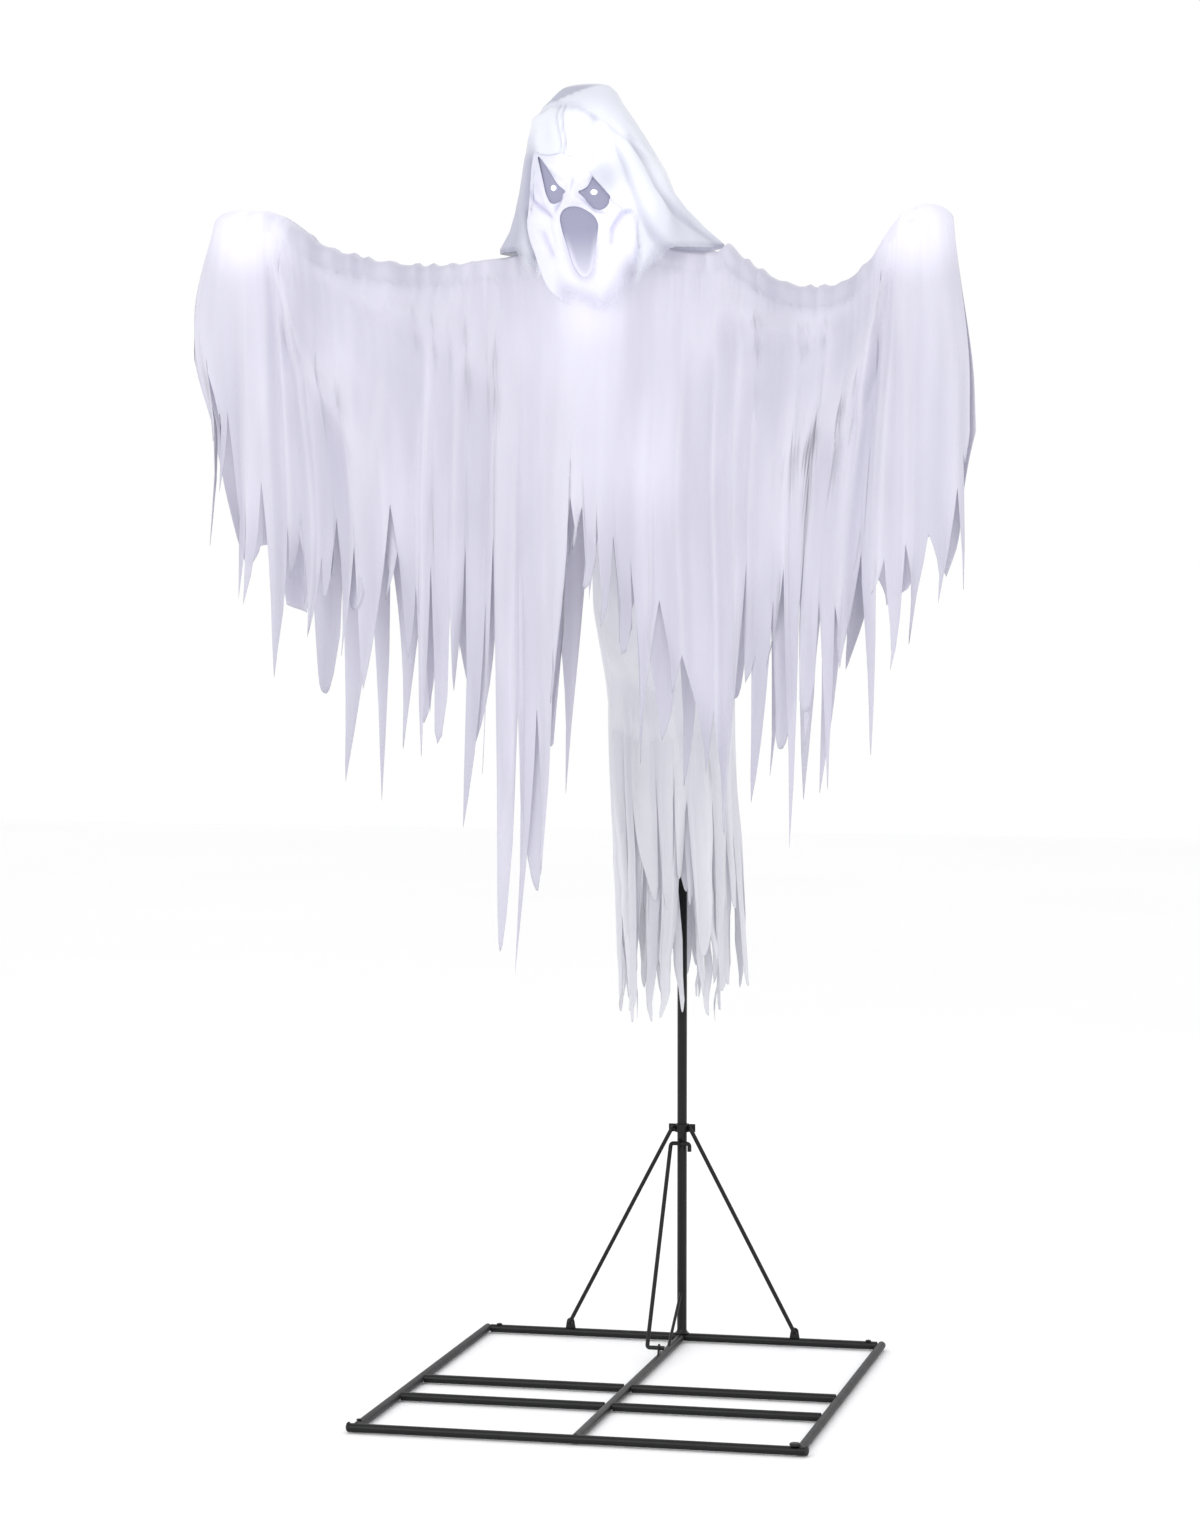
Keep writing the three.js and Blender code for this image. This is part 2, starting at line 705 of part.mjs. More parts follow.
function controlBox() {
  const z = boxHeightAt;
  const depth = boxBack - 30;
  const body = box(boxWidth, depth, boxHeight).translate(0, -reach + boxBack - depth / 2, z);
  const rim = box(boxWidth - 8, 4, boxHeight - 8).translate(0, -reach + boxBack, z);
  const slots = [];
  for (let k = 0; k < 5; k++) {
    slots.push(box(30, 6, 2.5).translate(14, -reach + boxBack, z - 18 - 6 * k));
  }
  const well = alongY(roundBar(buttonDiameter + 2 * seatGap, buttonWell + 5));
  well.translate(-18, -reach + boxBack - buttonWell + 2, z + 24);
  const slideWell = box(switchWidth + 2 * seatGap, 8, switchTravel + 10 + 2 * seatGap);
  slideWell.translate(16, -reach + boxBack - 2, z + 24);
  const inlet = roundBar(9, 14, 12).translate(-20, -reach + boxBack - 14, z - boxHeight / 2 - 2);
  return cut(join(body, rim), torsoLoft(seatGap), ...slots, well, slideWell, inlet);
}

function tryMeButton() {
  const r = buttonDiameter / 2;
  const base = boxBack - buttonWell + 2 + 4;
  const length = boxBack + 2 + buttonStand - base;
  const profile = [[0, 0], [r, 0], [r, length - 1.5], [r * 0.8, length], [0, length]];
  return alongY(lathe(profile)).translate(-18, -reach + base, boxHeightAt + 24);
}

function modeSwitch() {
  const slider = box(switchWidth, 5, 10).translate(0, 0, 0);
  const grip = box(switchWidth - 3, 4, 4).translate(0, 3.5, 0);
  const z = boxHeightAt + 24 - switchTravel / 2;
  return join(slider, grip).translate(16, -reach + boxBack - 6 + seatGap + 2.5, z);
}

function buildControls() {
  addPiece(figure, 'control_box', controlBox(), 'casePlastic');
  addPiece(figure, 'try_me_button', tryMeButton(), 'buttonRed');
  addPiece(figure, 'mode_switch', modeSwitch(), 'capPlastic');
}

// Arms: a bent rod plugged into each end of the shoulder bar, with a lamp under a dome at the hand

function armCorners(arm) {
  const { side, bends, hand, handTop } = arm;
  const lampBase = handTop - domeHeight + 10 - lampHeight - 10;
  return [
    at(side * (shoulderHalf - armPlug), reach, shoulderHeight),
    at(side * (shoulderHalf + 22), reach, shoulderHeight),
    ...bends.map(([x, forward, rise]) => at(side * x, forward, shoulderHeight + rise)),
    at(side * hand, handReach, lampBase - 34),
    at(side * hand, handReach, lampBase + 9),
  ];
}

function armBar(arm, diameter) {
  return rod(armCorners(arm), diameter, 26);
}

function handLamp({ side, hand, handTop }) {
  const base = handTop - domeHeight + 10 - lampHeight - 10;
  const r = lampDiameter / 2;
  const socket = armRod / 2 + seatGap;
  const profile = [
    [0, 9 + seatGap], [socket, 9 + seatGap], [socket, 0], [r * 0.7, 0], [r, 4], [r, lampHeight - 3],
    [r - 3, lampHeight], [0, lampHeight],
  ];
  return lathe(profile).translate(side * hand, -handReach, base);
}

function handDome({ side, hand, handTop }) {
  const r = domeDiameter / 2;
  const w = domeWall;
  const boss = 9;
  const bossFoot = -domeHeight + 10 - 10 + seatGap;
  const profile = [
    [0, 0], [r * 0.5, -1.8], [r * 0.84, -8.5], [r, -20], [r, -domeHeight], [r - w, -domeHeight],
    [r - w, -20], [r * 0.84 - w, -10], [r * 0.5 - w / 2, -1.8 - w], [boss, -1.8 - w],
    [boss, bossFoot], [0, bossFoot],
  ];
  return lathe(profile, 16).translate(side * hand, -handReach, handTop);
}

// The rod's place at a given distance from the middle, for what is gathered onto it.
function armPlace(arm, distance) {
  const corners = armCorners(arm);
  let first = 1;
  while (first < corners.length - 3 && Math.abs(corners[first + 1].x) < distance) first += 1;
  const a = corners[first];
  const b = corners[first + 1];
  const share = (distance - Math.abs(a.x)) / (Math.abs(b.x) - Math.abs(a.x));
  return a.clone().lerp(b, Math.max(share, 0)).setX(arm.side * distance);
}

function armCasing(arm) {
  const ruffles = 11;
  const start = shoulderHalf + 3;
  const rings = [];
  for (let k = 0; k <= 2 * ruffles; k++) {
    const distance = THREE.MathUtils.lerp(start, casingEnd, k / (2 * ruffles));
    const place = armPlace(arm, distance);
    const radius = (casingRadius - (k % 2 ? 0 : casingRuffle)) / Math.cos(Math.PI / 8);
    const ring = [];
    for (let i = 0; i < 8; i++) {
      const angle = (2 * Math.PI * (i + 0.5)) / 8;
      ring.push(new THREE.Vector3(place.x, place.y + radius * Math.cos(angle), place.z + radius * Math.sin(angle)));
    }
    rings.push(ring);
  }
  return cut(loft(rings), armBar(arm, armRod + 2 * seatGap));
}

function buildArms() {
  for (const [name, arm] of Object.entries(arms)) {
    addPiece(figure, `arm_rod_${name}`, armBar(arm, armRod), 'blackCoat');
    addPiece(figure, `hand_lamp_${name}`, handLamp(arm), 'lampLens');
    addPiece(figure, `hand_dome_${name}`, handDome(arm), 'torsoPlastic');
    addPiece(figure, `arm_casing_${name}`, armCasing(arm), 'ghostCloth');
  }
}

// Neck drive, on the shoulder bar

function clearOfShoulderBar(geometry) {
  const bar = alongX(roundBar(shoulderTube + 2 * seatGap, 400)).translate(-200, -reach, shoulderHeight);
  return cut(geometry, bar);
}

const neckDriveBase = shoulderHeight - 4;
const neckDriveTop = neckDriveBase + neckDriveHeight;

function neckDrive() {
  const r = neckDriveDiameter / 2;
  const bore = neckShaft / 2 + seatGap;
  const well = neckDriveTop - 20;
  const profile = [
    [0, neckDriveBase], [r, neckDriveBase], [r, neckDriveTop - 8], [r * 0.6, neckDriveTop - 6],
    [r * 0.5, neckDriveTop], [bore, neckDriveTop], [bore, well], [0, well],
  ];
  return clearOfShoulderBar(lathe(profile).translate(0, -reach, 0));
}

function faceLamp() {
  const profile = [[0, 0], [12, 0], [12, 16], [15, 22], [15, 38], [11, 42], [0, 42]];
  return clearOfShoulderBar(lathe(profile).translate(118, -reach, shoulderHeight - 2));
}

// Head form: a hollow dome with a chin apron in front, on the neck plate

const headProfile = [
  [headRadius, headSkirtBase], [headRadius, headPlateHeight - 16], [headRadius - 3, headTop - 168],
  [headRadius - 10, headTop - 98], [headRadius - 24, headTop - 58], [headRadius - 50, headTop - 22],
  [headRadius - 80, headTop - 4],
];

function headRadiusAt(z) {
  for (let k = 1; k < headProfile.length; k++) {
    const [r1, z1] = headProfile[k];
    const [r0, z0] = headProfile[k - 1];
    if (z <= z1) return r0 + ((r1 - r0) * Math.max(z - z0, 0)) / (z1 - z0);
  }
  return headProfile[headProfile.length - 1][0];
}

function headForm() {
  const outside = [...headProfile, [0, headTop]];
  const inside = headProfile.map(([r, z]) => [r - headWall, z]).reverse();
  const profile = [...outside, [0, headTop - headWall], ...inside, headProfile[0]];
  const dome = lathe(profile, headSides).translate(0, -reach, 0);
  const apronBack = box(400, 400, 400).translate(0, -reach + 200 - 66, headPlateHeight - 26 - 200);
  const apronSides = [-1, 1].map((side) => {
    return box(200, 400, 400).translate(side * (apronHalf + 100), -reach, headPlateHeight - 26 - 200);
  });
  return cut(dome, apronBack, ...apronSides);
}

function neckPlate() {
  const disc = headRadius - headWall - seatGap - 1;
  const z = headPlateHeight;
  const r = neckShaft / 2;
  const profile = [
    [0, neckDriveTop - 18], [r, neckDriveTop - 18], [r, neckDriveTop + runningGap],
    [14, neckDriveTop + runningGap], [14, z - 6], [20, z - 4], [disc, z - 4], [disc, z], [0, z],
  ];
  return lathe(profile, headSides).translate(0, -reach, 0);
}

// Face: a moulded mask on the head form, with screens behind its eyes and mouth

const eyeOutlines = {
  left: fromShoulder([
    [-80, 206], [-66, 159], [-54, 126], [-45, 117], [-30, 120], [-22, 132], [-16, 136], [-35, 152], [-58, 184],
  ]),
  right: fromShoulder([
    [8, 135], [24, 147], [33, 165], [74, 201], [69, 149], [64, 125], [50, 103], [39, 103], [25, 115],
  ]),
};

const mouthOutline = fromShoulder([
  [-1, 110], [-24, 102], [-29, 91], [-26, 74], [-13, 35], [2, -5], [14, -18], [24, -19], [34, -6],
  [40, 37], [43, 78], [36, 91], [22, 103],
]);

const maskOutline = fromShoulder([
  [-74, 223], [-88, 188], [-96, 117], [-98, 85], [-90, 53], [-69, -5], [-50, -38], [-24, -61],
  [4, -74], [26, -85], [48, -92], [70, -86], [91, -64], [104, -38], [109, -6], [110, 33],
  [108, 103], [98, 165], [78, 215], [40, 235], [0, 239], [-40, 236],
]);

// Moves each corner of an outline towards its middle, so that a screen clears its opening.
function drawnIn(outline, distance) {
  const cx = outline.reduce((sum, [x]) => sum + x, 0) / outline.length;
  const cz = outline.reduce((sum, [, z]) => sum + z, 0) / outline.length;
  return outline.map(([x, z]) => {
    const length = Math.hypot(x - cx, z - cz);
    const share = (length - distance) / length;
    return [cx + (x - cx) * share, cz + (z - cz) * share];
  });
}

function faceCut(outline) {
  const shape = new THREE.Shape(outline.map(([x, z]) => new THREE.Vector2(x, -z)));
  const geometry = new THREE.ExtrudeGeometry(shape, { depth: 200, bevelEnabled: false });
  return geometry.rotateX(-Math.PI / 2).translate(0, -reach - 200, 0);
}

// How far the face stands out from the round form towards its sides, so that it is flatter.
function flatLift(x) {
  return faceFlatness * smoothStep(Math.abs(x), 30, 96);
}

function featureLift(x, z) {
  const dz = z - shoulderHeight;
  const bump = (cx, cz, wx, wz) => Math.exp(-(((x - cx) / wx) ** 2) - ((dz - cz) / wz) ** 2);
  const nose = 13 * bump(-1, 131, 13, 20);
  const brow = 8 * (bump(-28, 173, 18, 14) + bump(28, 173, 18, 14)) + 4 * bump(0, 195, 34, 20);
  const cheeks = 6 * bump(-68, 79, 16, 32) + 7 * bump(78, 63, 18, 34);
  const lips = 5 * (bump(-28, 55, 11, 46) + bump(52, 43, 11, 46)) + 5 * bump(20, -45, 34, 16);
  return nose + brow + cheeks + lips + flatLift(x);
}

const faceRows = [240, 222, 205, 187, 170, 153, 135, 115, 95, 75, 50, 20, -10, -40, -70, -104];

// A curved wall in front of the head form, with its lifts measured from the form.
function faceShell(outerLift, innerLift) {
  const columns = 14;
  const widest = THREE.MathUtils.degToRad(74);
  const grid = (lift) => faceRows.map((row) => {
    const z = shoulderHeight + row;
    const line = [];
    for (let column = 0; column <= columns; column++) {
      const angle = THREE.MathUtils.lerp(-widest, widest, column / columns);
      const form = headRadiusAt(z) / Math.cos(Math.PI / headSides);
      const radius = form + maskSlack + lift(form * Math.sin(angle), z);
      line.push(at(radius * Math.sin(angle), reach + radius * Math.cos(angle), z));
    }
    return line;
  });
  return shell(grid(outerLift), grid(innerLift));
}

function faceMask() {
  const wall = faceShell((x, z) => maskThickness + featureLift(x, z), (x, z) => 0.8 * featureLift(x, z));
  const blank = overlapOf(wall, faceCut(maskOutline));
  return cut(blank, faceCut(eyeOutlines.left), faceCut(eyeOutlines.right), faceCut(mouthOutline));
}

function faceScreen(outline) {
  const wall = faceShell((x) => screenThickness + 0.7 * flatLift(x), (x) => 0.7 * flatLift(x));
  return overlapOf(wall, faceCut(drawnIn(outline, 1)));
}

function buildHead() {
  addPiece(figure, 'neck_drive', neckDrive(), 'casePlastic');
  addPiece(figure, 'face_lamp', faceLamp(), 'lampLens');
  addPiece(figure, 'neck_plate', neckPlate(), 'casePlastic');
  addPiece(figure, 'head_form', headForm(), 'torsoPlastic');
  addPiece(figure, 'face_mask', faceMask(), 'maskVinyl');
  addPiece(figure, 'eye_screen_left', faceScreen(eyeOutlines.left), 'screenMesh');
  addPiece(figure, 'eye_screen_right', faceScreen(eyeOutlines.right), 'screenMesh');
  addPiece(figure, 'mouth_screen', faceScreen(mouthOutline), 'screenMesh');
}

// Hood: cloth over the head form, open at the face, with a point under the chin

const hoodStations = [
  { z: 337, left: 50, right: 20, front: 32, back: 42 },
  { z: 309, left: 84, right: 54, front: 64, back: 80 },
  { z: 281, left: 113, right: 76, front: 92, back: 105 },
  { z: 245, left: 123, right: 102, front: 114, back: 122 },
  { z: 185, left: 130, right: 143, front: 130, back: 135 },
  { z: 145, left: 134, right: 160, front: 131, back: 143 },
  { z: 107, left: 143, right: 192, front: 136, back: 152 },
  { z: 75, left: 160, right: 218, front: 139, back: 160 },
  { z: 43, left: 186, right: 252, front: 142, back: 172 },
];

// Height of the hem round the hood, by degrees from the front; raised where it passes over the arms
const hoodHem = fromShoulder([
  [0, -105], [20, -107], [43, -60], [56, 12], [66, 23], [110, 23], [135, -25], [180, -39],
  [225, -19], [244, 26], [250, 31], [294, 31], [304, 0], [318, -30], [335, -55], [360, -105],
]);
const hoodFolds = 8;

const hoodOpening = fromShoulder([
  [-89, 212], [-40, 207], [0, 198], [22, 184], [34, 162], [64, 128], [86, 106], [100, 83], [106, 43],
  [105, -2], [97, -47], [82, -87], [76, -145], [-70, -145], [-92, -57], [-101, 13], [-104, 83], [-99, 153],
]);

function hoodRing(station, inset, lower) {
  const ring = [];
  for (let k = 0; k < 32; k++) {
    const degrees = (360 * k) / 32;
    const angle = THREE.MathUtils.degToRad(degrees);
    const fromFront = Math.min(degrees, 360 - degrees);
    const fold = 1 + 0.035 * Math.cos(hoodFolds * angle) * smoothStep(fromFront, 50, 90) * station.open;
    const acrossRadius = (Math.sin(angle) > 0 ? station.right : station.left) * fold - inset;
    const alongRadius = (Math.cos(angle) > 0 ? station.front : station.back) * fold - inset;
    const z = lower ? hoodHemAt(degrees) : station.z;
    ring.push(at(acrossRadius * Math.sin(angle), reach + alongRadius * Math.cos(angle), z));
  }
  return ring;
}

function hoodHemAt(degrees) {
  const next = hoodHem.findIndex(([angle]) => angle > degrees);
  const [angle0, z0] = hoodHem[next - 1];
  const [angle1, z1] = hoodHem[next];
  return THREE.MathUtils.mapLinear(degrees, angle0, angle1, z0, z1);
}

function hoodShell() {
  const stations = hoodStations.map((station, index) => {
    return { ...station, z: shoulderHeight + station.z, open: index / hoodStations.length };
  });
  const hem = { ...stations[stations.length - 1], open: 1 };
  const outer = [...stations.map((station) => hoodRing(station, 0)), hoodRing(hem, 0, true)];
  const inner = stations.map((station, index) => {
    const crown = headTop + seatGap - index;
    return hoodRing({ ...station, z: Math.min(station.z, crown) }, hoodThickness);
  });
  inner.push(hoodRing(hem, hoodThickness, true));
  return cut(shell(outer, inner, { wrap: true, capped: true }), faceCut(hoodOpening));
}

// Robe: front and back curtains below the casings and shoulder bar, one fold to each tattered strip

function armFor(x) {
  return x < 0 ? arms.left : arms.right;
}

function robeTop(x) {
  const distance = Math.abs(x);
  if (distance < shoulderHalf + 3) return at(x, reach, shoulderHeight);
  return armPlace(armFor(x), Math.min(distance, casingEnd));
}

function robePlane(x, facing, chest, spread) {
  const bulge = chest * Math.exp(-((x / spread) ** 2));
  const clear = casingRadius + casingSlack + clothThickness;
  return robeTop(x).y - facing * Math.max(clear, bulge);
}

function robeCurtain(hem, rows, facing, chest, spread) {
  const columns = [];
  for (let k = 0; k + 1 < hem.length; k++) {
    const [x0, z0] = hem[k];
    const [x1, z1] = hem[k + 1];
    columns.push({ x: x0, z: z0, crest: k % 2 ? 1 : -1 });
    columns.push({ x: (x0 + x1) / 2, z: (z0 + z1) / 2, crest: 0 });
  }
  const [xEnd, zEnd] = hem[hem.length - 1];
  columns.push({ x: xEnd, z: zEnd, crest: -1 });
  const grid = (inset) => {
    const lines = [];
    for (let row = 0; row <= rows; row++) {
      lines.push(columns.map(({ x, z, crest }) => {
        const top = robeTop(x).z;
        const height = THREE.MathUtils.lerp(top, z, row / rows);
        const chestHang = Math.abs(x) < 130 ? top - torsoBase : 30;
        const fold = crest * foldDepth * smoothStep(top - height, chestHang, chestHang + 260);
        const y = robePlane(x, facing, chest, spread) - facing * (fold - inset);
        return new THREE.Vector3(x, y, height);
      }));
    }
    return lines;
  };
  return shell(grid(0), grid(clothThickness));
}

// Hem of the robe's back: even strips with a raised gap in the middle for the gooseneck.
function backHem() {
  const strips = 5;
  const half = [];
  for (let k = 0; k <= 2 * strips; k++) {
    const x = THREE.MathUtils.lerp(slitHalf, panelEnd, k / (2 * strips));
    const tip = shoulderHeight - 975 + 0.5 * x + (k % 4 === 1 ? 0 : 110);
    const notch = k === 0 ? slitHeight : shoulderHeight - 545;
    half.push([x, k % 2 ? tip : notch]);
  }
  const left = half.map(([x, z]) => [-x, z]).reverse();
  return [...left, [0, slitHeight], ...half];
}

// Sleeve end: cloth over the hand, hanging in front, outside and behind it

const sleeveColumns = 28;
const sleeveLevels = [
  { drop: 0, flare: -26 }, { drop: 5, flare: -12 }, { drop: 14, flare: -2 }, { drop: 30, flare: 0 },
  { drop: 150, flare: 30 }, { drop: 370, flare: 52 },
];

function sleeveRing(arm, inset, level, hem) {
  const wide = domeDiameter / 2 + 4 + clothThickness;
  const narrow = casingRadius + 2;
  const innerEnd = arm.hand - panelEnd - sleeveGap;
  const lowEnd = armPlace(arm, panelEnd).z + casingRadius + 8;
  const top = arm.handTop + seatGap + clothThickness - inset;
  const ring = [];
  for (let k = 0; k < sleeveColumns; k++) {
    const angle = (2 * Math.PI * k) / sleeveColumns;
    const outward = Math.cos(angle);
    const fold = 9 * Math.cos((Math.PI * k) / 2) * smoothStep(level.drop, 60, 300);
    const taper = outward > 0 ? 1 : 1 + outward * 0.62;
    const width = THREE.MathUtils.lerp(narrow, wide, taper) + level.flare * 0.5 + fold - inset;
    const along = outward > 0 ? (wide + level.flare + fold - inset) * outward : (innerEnd - inset) * outward;
    const distance = arm.hand + along;
    const past = Math.max(0, -along - wide) / (innerEnd - wide);
    const line = THREE.MathUtils.lerp(handReach, -armPlace(arm, panelEnd).y, past);
    const forward = line + width * Math.sin(angle);
    const drop = hem ? sleeveHemDrop(angle, k) : level.drop;
    const z = top - drop - past * (arm.handTop - lowEnd);
    ring.push(at(arm.side * distance, forward, z));
  }
  return ring;
}

function sleeveHemDrop(angle, column) {
  const inward = 0.5 - 0.5 * Math.cos(angle);
  const behind = Math.max(0, -Math.sin(angle));
  const jag = column % 4 === 0 ? 150 : column % 4 === 2 ? -70 : 20;
  return 480 + 60 * inward + 170 * behind + jag;
}

function sleeve(arm) {
  const grid = (inset) => {
    const rings = sleeveLevels.map((level) => sleeveRing(arm, inset, level, false));
    rings.push(sleeveRing(arm, inset, sleeveLevels[sleeveLevels.length - 1], true));
    return rings;
  };
  const cloth = shell(grid(0), grid(clothThickness), { wrap: true, capped: true });
  return cut(cloth, armBar(arm, armRod + 2 * seatGap));
}

// Tail skirt: drawn in on the gooseneck, then hanging round the pole

const slopeUp = new THREE.Vector3(0, gooseneckSlope, 1).normalize();

function onGooseneck(forward, above) {
  const place = at(0, forward, gooseneckLift + gooseneckSlope * forward);
  return place.addScaledVector(slopeUp, above);
}

function tailAt(forward, above) {
  return at(0, forward, gooseneckLift + above);
}

function tailStations() {
  const hugging = gooseneckTube / 2 + clothThickness + runningGap;
  return [
    { back: onGooseneck(430, hugging), front: onGooseneck(430, -hugging), half: hugging },
    { back: onGooseneck(392, 26), front: onGooseneck(392, -64), half: 50 },
    { back: onGooseneck(320, 27), front: onGooseneck(320, -118), half: 82 },
    { back: onGooseneck(240, 28), front: onGooseneck(240, -160), half: 102 },
    { back: onGooseneck(150, 30), front: onGooseneck(150, -188), half: 114 },
    { back: tailAt(12, 62), front: tailAt(214, -138), half: 119 },
    { back: tailAt(-50, -50), front: tailAt(196, -210), half: 121 },
    { back: tailAt(-60, -220), front: tailAt(188, -290), half: 121 },
    { back: tailAt(-60, -500), front: tailAt(184, -510), half: 121 },
  ];
}

const tailColumns = 28;

function tailRing({ back, front, half }, inset, folds, lower) {
  const centre = back.clone().add(front).multiplyScalar(0.5);
  const arm = back.clone().sub(front).multiplyScalar(0.5);
  const long = arm.length();
  const ring = [];
  for (let k = 0; k < tailColumns; k++) {
    const angle = (2 * Math.PI * k) / tailColumns;
    const fold = 1 + 0.05 * folds * (k % 2 ? 1 : -1);
    const point = centre.clone().addScaledVector(arm, (Math.cos(angle) * (long * fold - inset)) / long);
    point.x += Math.sin(angle) * (half * fold - inset);
    if (lower) point.z = gooseneckLift - (k % 2 ? 760 - 30 * (k % 3) - 20 * (k % 4) : 550);
    ring.push(point);
  }
  return ring;
}

function tailSkirt() {
  const stations = tailStations();
  const grid = (inset) => {
    const rings = stations.map((station, index) => tailRing(station, inset, index > 3 ? 1 : 0, false));
    rings.push(tailRing(stations[stations.length - 1], inset, 1, true));
    return rings;
  };
  return shell(grid(0), grid(clothThickness), { wrap: true });
}

function buildCloth() {
  addPiece(figure, 'hood', hoodShell(), 'ghostCloth');
  addPiece(figure, 'robe_front', robeCurtain(frontHem, 6, 1, 92, 95), 'ghostCloth');
  addPiece(figure, 'robe_back', robeCurtain(backHem(), 6, -1, 118, 110), 'ghostCloth');
  addPiece(figure, 'sleeve_left', sleeve(arms.left), 'ghostCloth');
  addPiece(figure, 'sleeve_right', sleeve(arms.right), 'ghostCloth');
  addPiece(figure, 'tail_skirt', tailSkirt(), 'ghostCloth');
}

function buildDrive() {
  addPiece(stand, 'drive_housing_front', driveHalf(-1), 'casePlastic');
  addPiece(stand, 'drive_housing_rear', driveHalf(1), 'casePlastic');
}

buildBase();
buildPole();
buildDrive();
buildTorso();
buildControls();
buildArms();
buildHead();
buildCloth();

export default model;
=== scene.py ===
import json
import math
import bmesh
import bpy
import numpy as np
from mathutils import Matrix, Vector


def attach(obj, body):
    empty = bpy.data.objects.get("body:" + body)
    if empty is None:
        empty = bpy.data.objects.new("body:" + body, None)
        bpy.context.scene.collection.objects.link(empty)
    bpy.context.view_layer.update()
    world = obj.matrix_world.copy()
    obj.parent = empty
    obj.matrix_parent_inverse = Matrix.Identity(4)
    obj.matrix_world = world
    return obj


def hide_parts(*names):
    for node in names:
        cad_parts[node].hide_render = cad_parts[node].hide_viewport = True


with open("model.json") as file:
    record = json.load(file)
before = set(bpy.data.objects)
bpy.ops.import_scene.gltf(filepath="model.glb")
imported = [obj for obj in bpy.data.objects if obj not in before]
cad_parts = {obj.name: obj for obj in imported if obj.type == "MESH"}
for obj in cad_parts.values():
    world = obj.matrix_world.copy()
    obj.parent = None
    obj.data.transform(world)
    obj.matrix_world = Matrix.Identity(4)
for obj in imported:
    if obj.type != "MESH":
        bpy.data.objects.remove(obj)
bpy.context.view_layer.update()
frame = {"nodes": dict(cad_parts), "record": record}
cadNodes = frame["nodes"]
scene = bpy.context.scene
print("frame loaded,", len(cadNodes), "nodes")

# The figure is turned about the pole: its own x, forward and height in mm become the row's metres.
figureTurn = math.radians(-4.4)
figureReach = 600


def placeAll(points):
    c, s = math.cos(figureTurn), math.sin(figureTurn)
    x, forward, z = points[..., 0], points[..., 1], points[..., 2]
    return np.stack([x * c + forward * s, x * s - forward * c, z], axis=-1) / 1000


def place(x, forward, z):
    return Vector(placeAll(np.array((x, forward, z), float)))


def wobble(t, seed, waves=4):
    # a smooth uneven wave of about -1 to 1, one bend or so per unit of t
    draw = np.random.RandomState(seed)
    total = np.zeros_like(np.asarray(t, float))
    for k in range(waves):
        total += np.sin(t * draw.uniform(1.6, 4.4) + draw.uniform(0, 6.28)) / (1 + 0.5 * k)
    return total / (0.75 * waves)


def ease(value, low, high):
    t = np.clip((value - low) / (high - low), 0, 1)
    return t * t * (3 - 2 * t)


def foldWave(phase):
    # rounded ridges with narrower valleys, as cloth hangs
    return 0.8 * np.cos(phase) + 0.28 * np.cos(2 * phase + 0.4) + 0.1 * np.cos(3 * phase + 1.1)


# materials


def toLinear(hexColour):
    parts = [int(hexColour[k:k + 2], 16) / 255 for k in (1, 3, 5)]
    return [p / 12.92 if p <= 0.04045 else ((p + 0.055) / 1.055) ** 2.4 for p in parts] + [1.0]


def addNode(tree, kind, settings=None, links=None):
    node = tree.nodes.new(kind)
    for key, value in (settings or {}).items():
        if key in node.inputs:
            node.inputs[key].default_value = value
        else:
            setattr(node, key, value)
    for key, source in (links or {}).items():
        tree.links.new(source, node.inputs[key])
    return node


def newMaterial(name, **sockets):
    material = bpy.data.materials.new(name)
    material.use_nodes = True
    tree = material.node_tree
    shader = tree.nodes["Principled BSDF"]
    for key, value in sockets.items():
        shader.inputs[key.replace("_", " ")].default_value = value
    coords = addNode(tree, "ShaderNodeTexCoord")
    return material, tree, shader, coords.outputs["Object"]


def speckle(tree, shader, coords, low, high, grain, detail=4.0):
    # colour drifting between two close tones, over patches of the given size in mm
    noise = addNode(tree, "ShaderNodeTexNoise", {"Scale": 1000 / grain, "Detail": detail}, {"Vector": coords})
    ramp = addNode(tree, "ShaderNodeValToRGB", {}, {"Fac": noise.outputs["Fac"]})
    ramp.color_ramp.elements[0].position = 0.32
    ramp.color_ramp.elements[0].color = toLinear(low)
    ramp.color_ramp.elements[1].position = 0.68
    ramp.color_ramp.elements[1].color = toLinear(high)
    tree.links.new(ramp.outputs["Color"], shader.inputs["Base Color"])


def roughen(tree, shader, coords, low, high, grain):
    noise = addNode(tree, "ShaderNodeTexNoise", {"Scale": 1000 / grain, "Detail": 3.0}, {"Vector": coords})
    spread = addNode(tree, "ShaderNodeMapRange", {"To Min": low, "To Max": high},
                     {"Value": noise.outputs["Fac"]})
    tree.links.new(spread.outputs["Result"], shader.inputs["Roughness"])


def dimple(tree, shader, coords, grain, strength, depth):
    # fine relief of the given grain and depth in mm
    noise = addNode(tree, "ShaderNodeTexNoise", {"Scale": 1000 / grain, "Detail": 2.0}, {"Vector": coords})
    bump = addNode(tree, "ShaderNodeBump", {"Strength": strength, "Distance": depth / 1000},
                   {"Height": noise.outputs["Fac"]})
    tree.links.new(bump.outputs["Normal"], shader.inputs["Normal"])


# polyester powder coat baked on steel tube: a soft satin skin with fine orange peel
coatSettings = {
    "satin": ("#060607", "#0b0b0d", 0.36, 0.5),
    "dull": ("#19191b", "#242427", 0.5, 0.64),
}


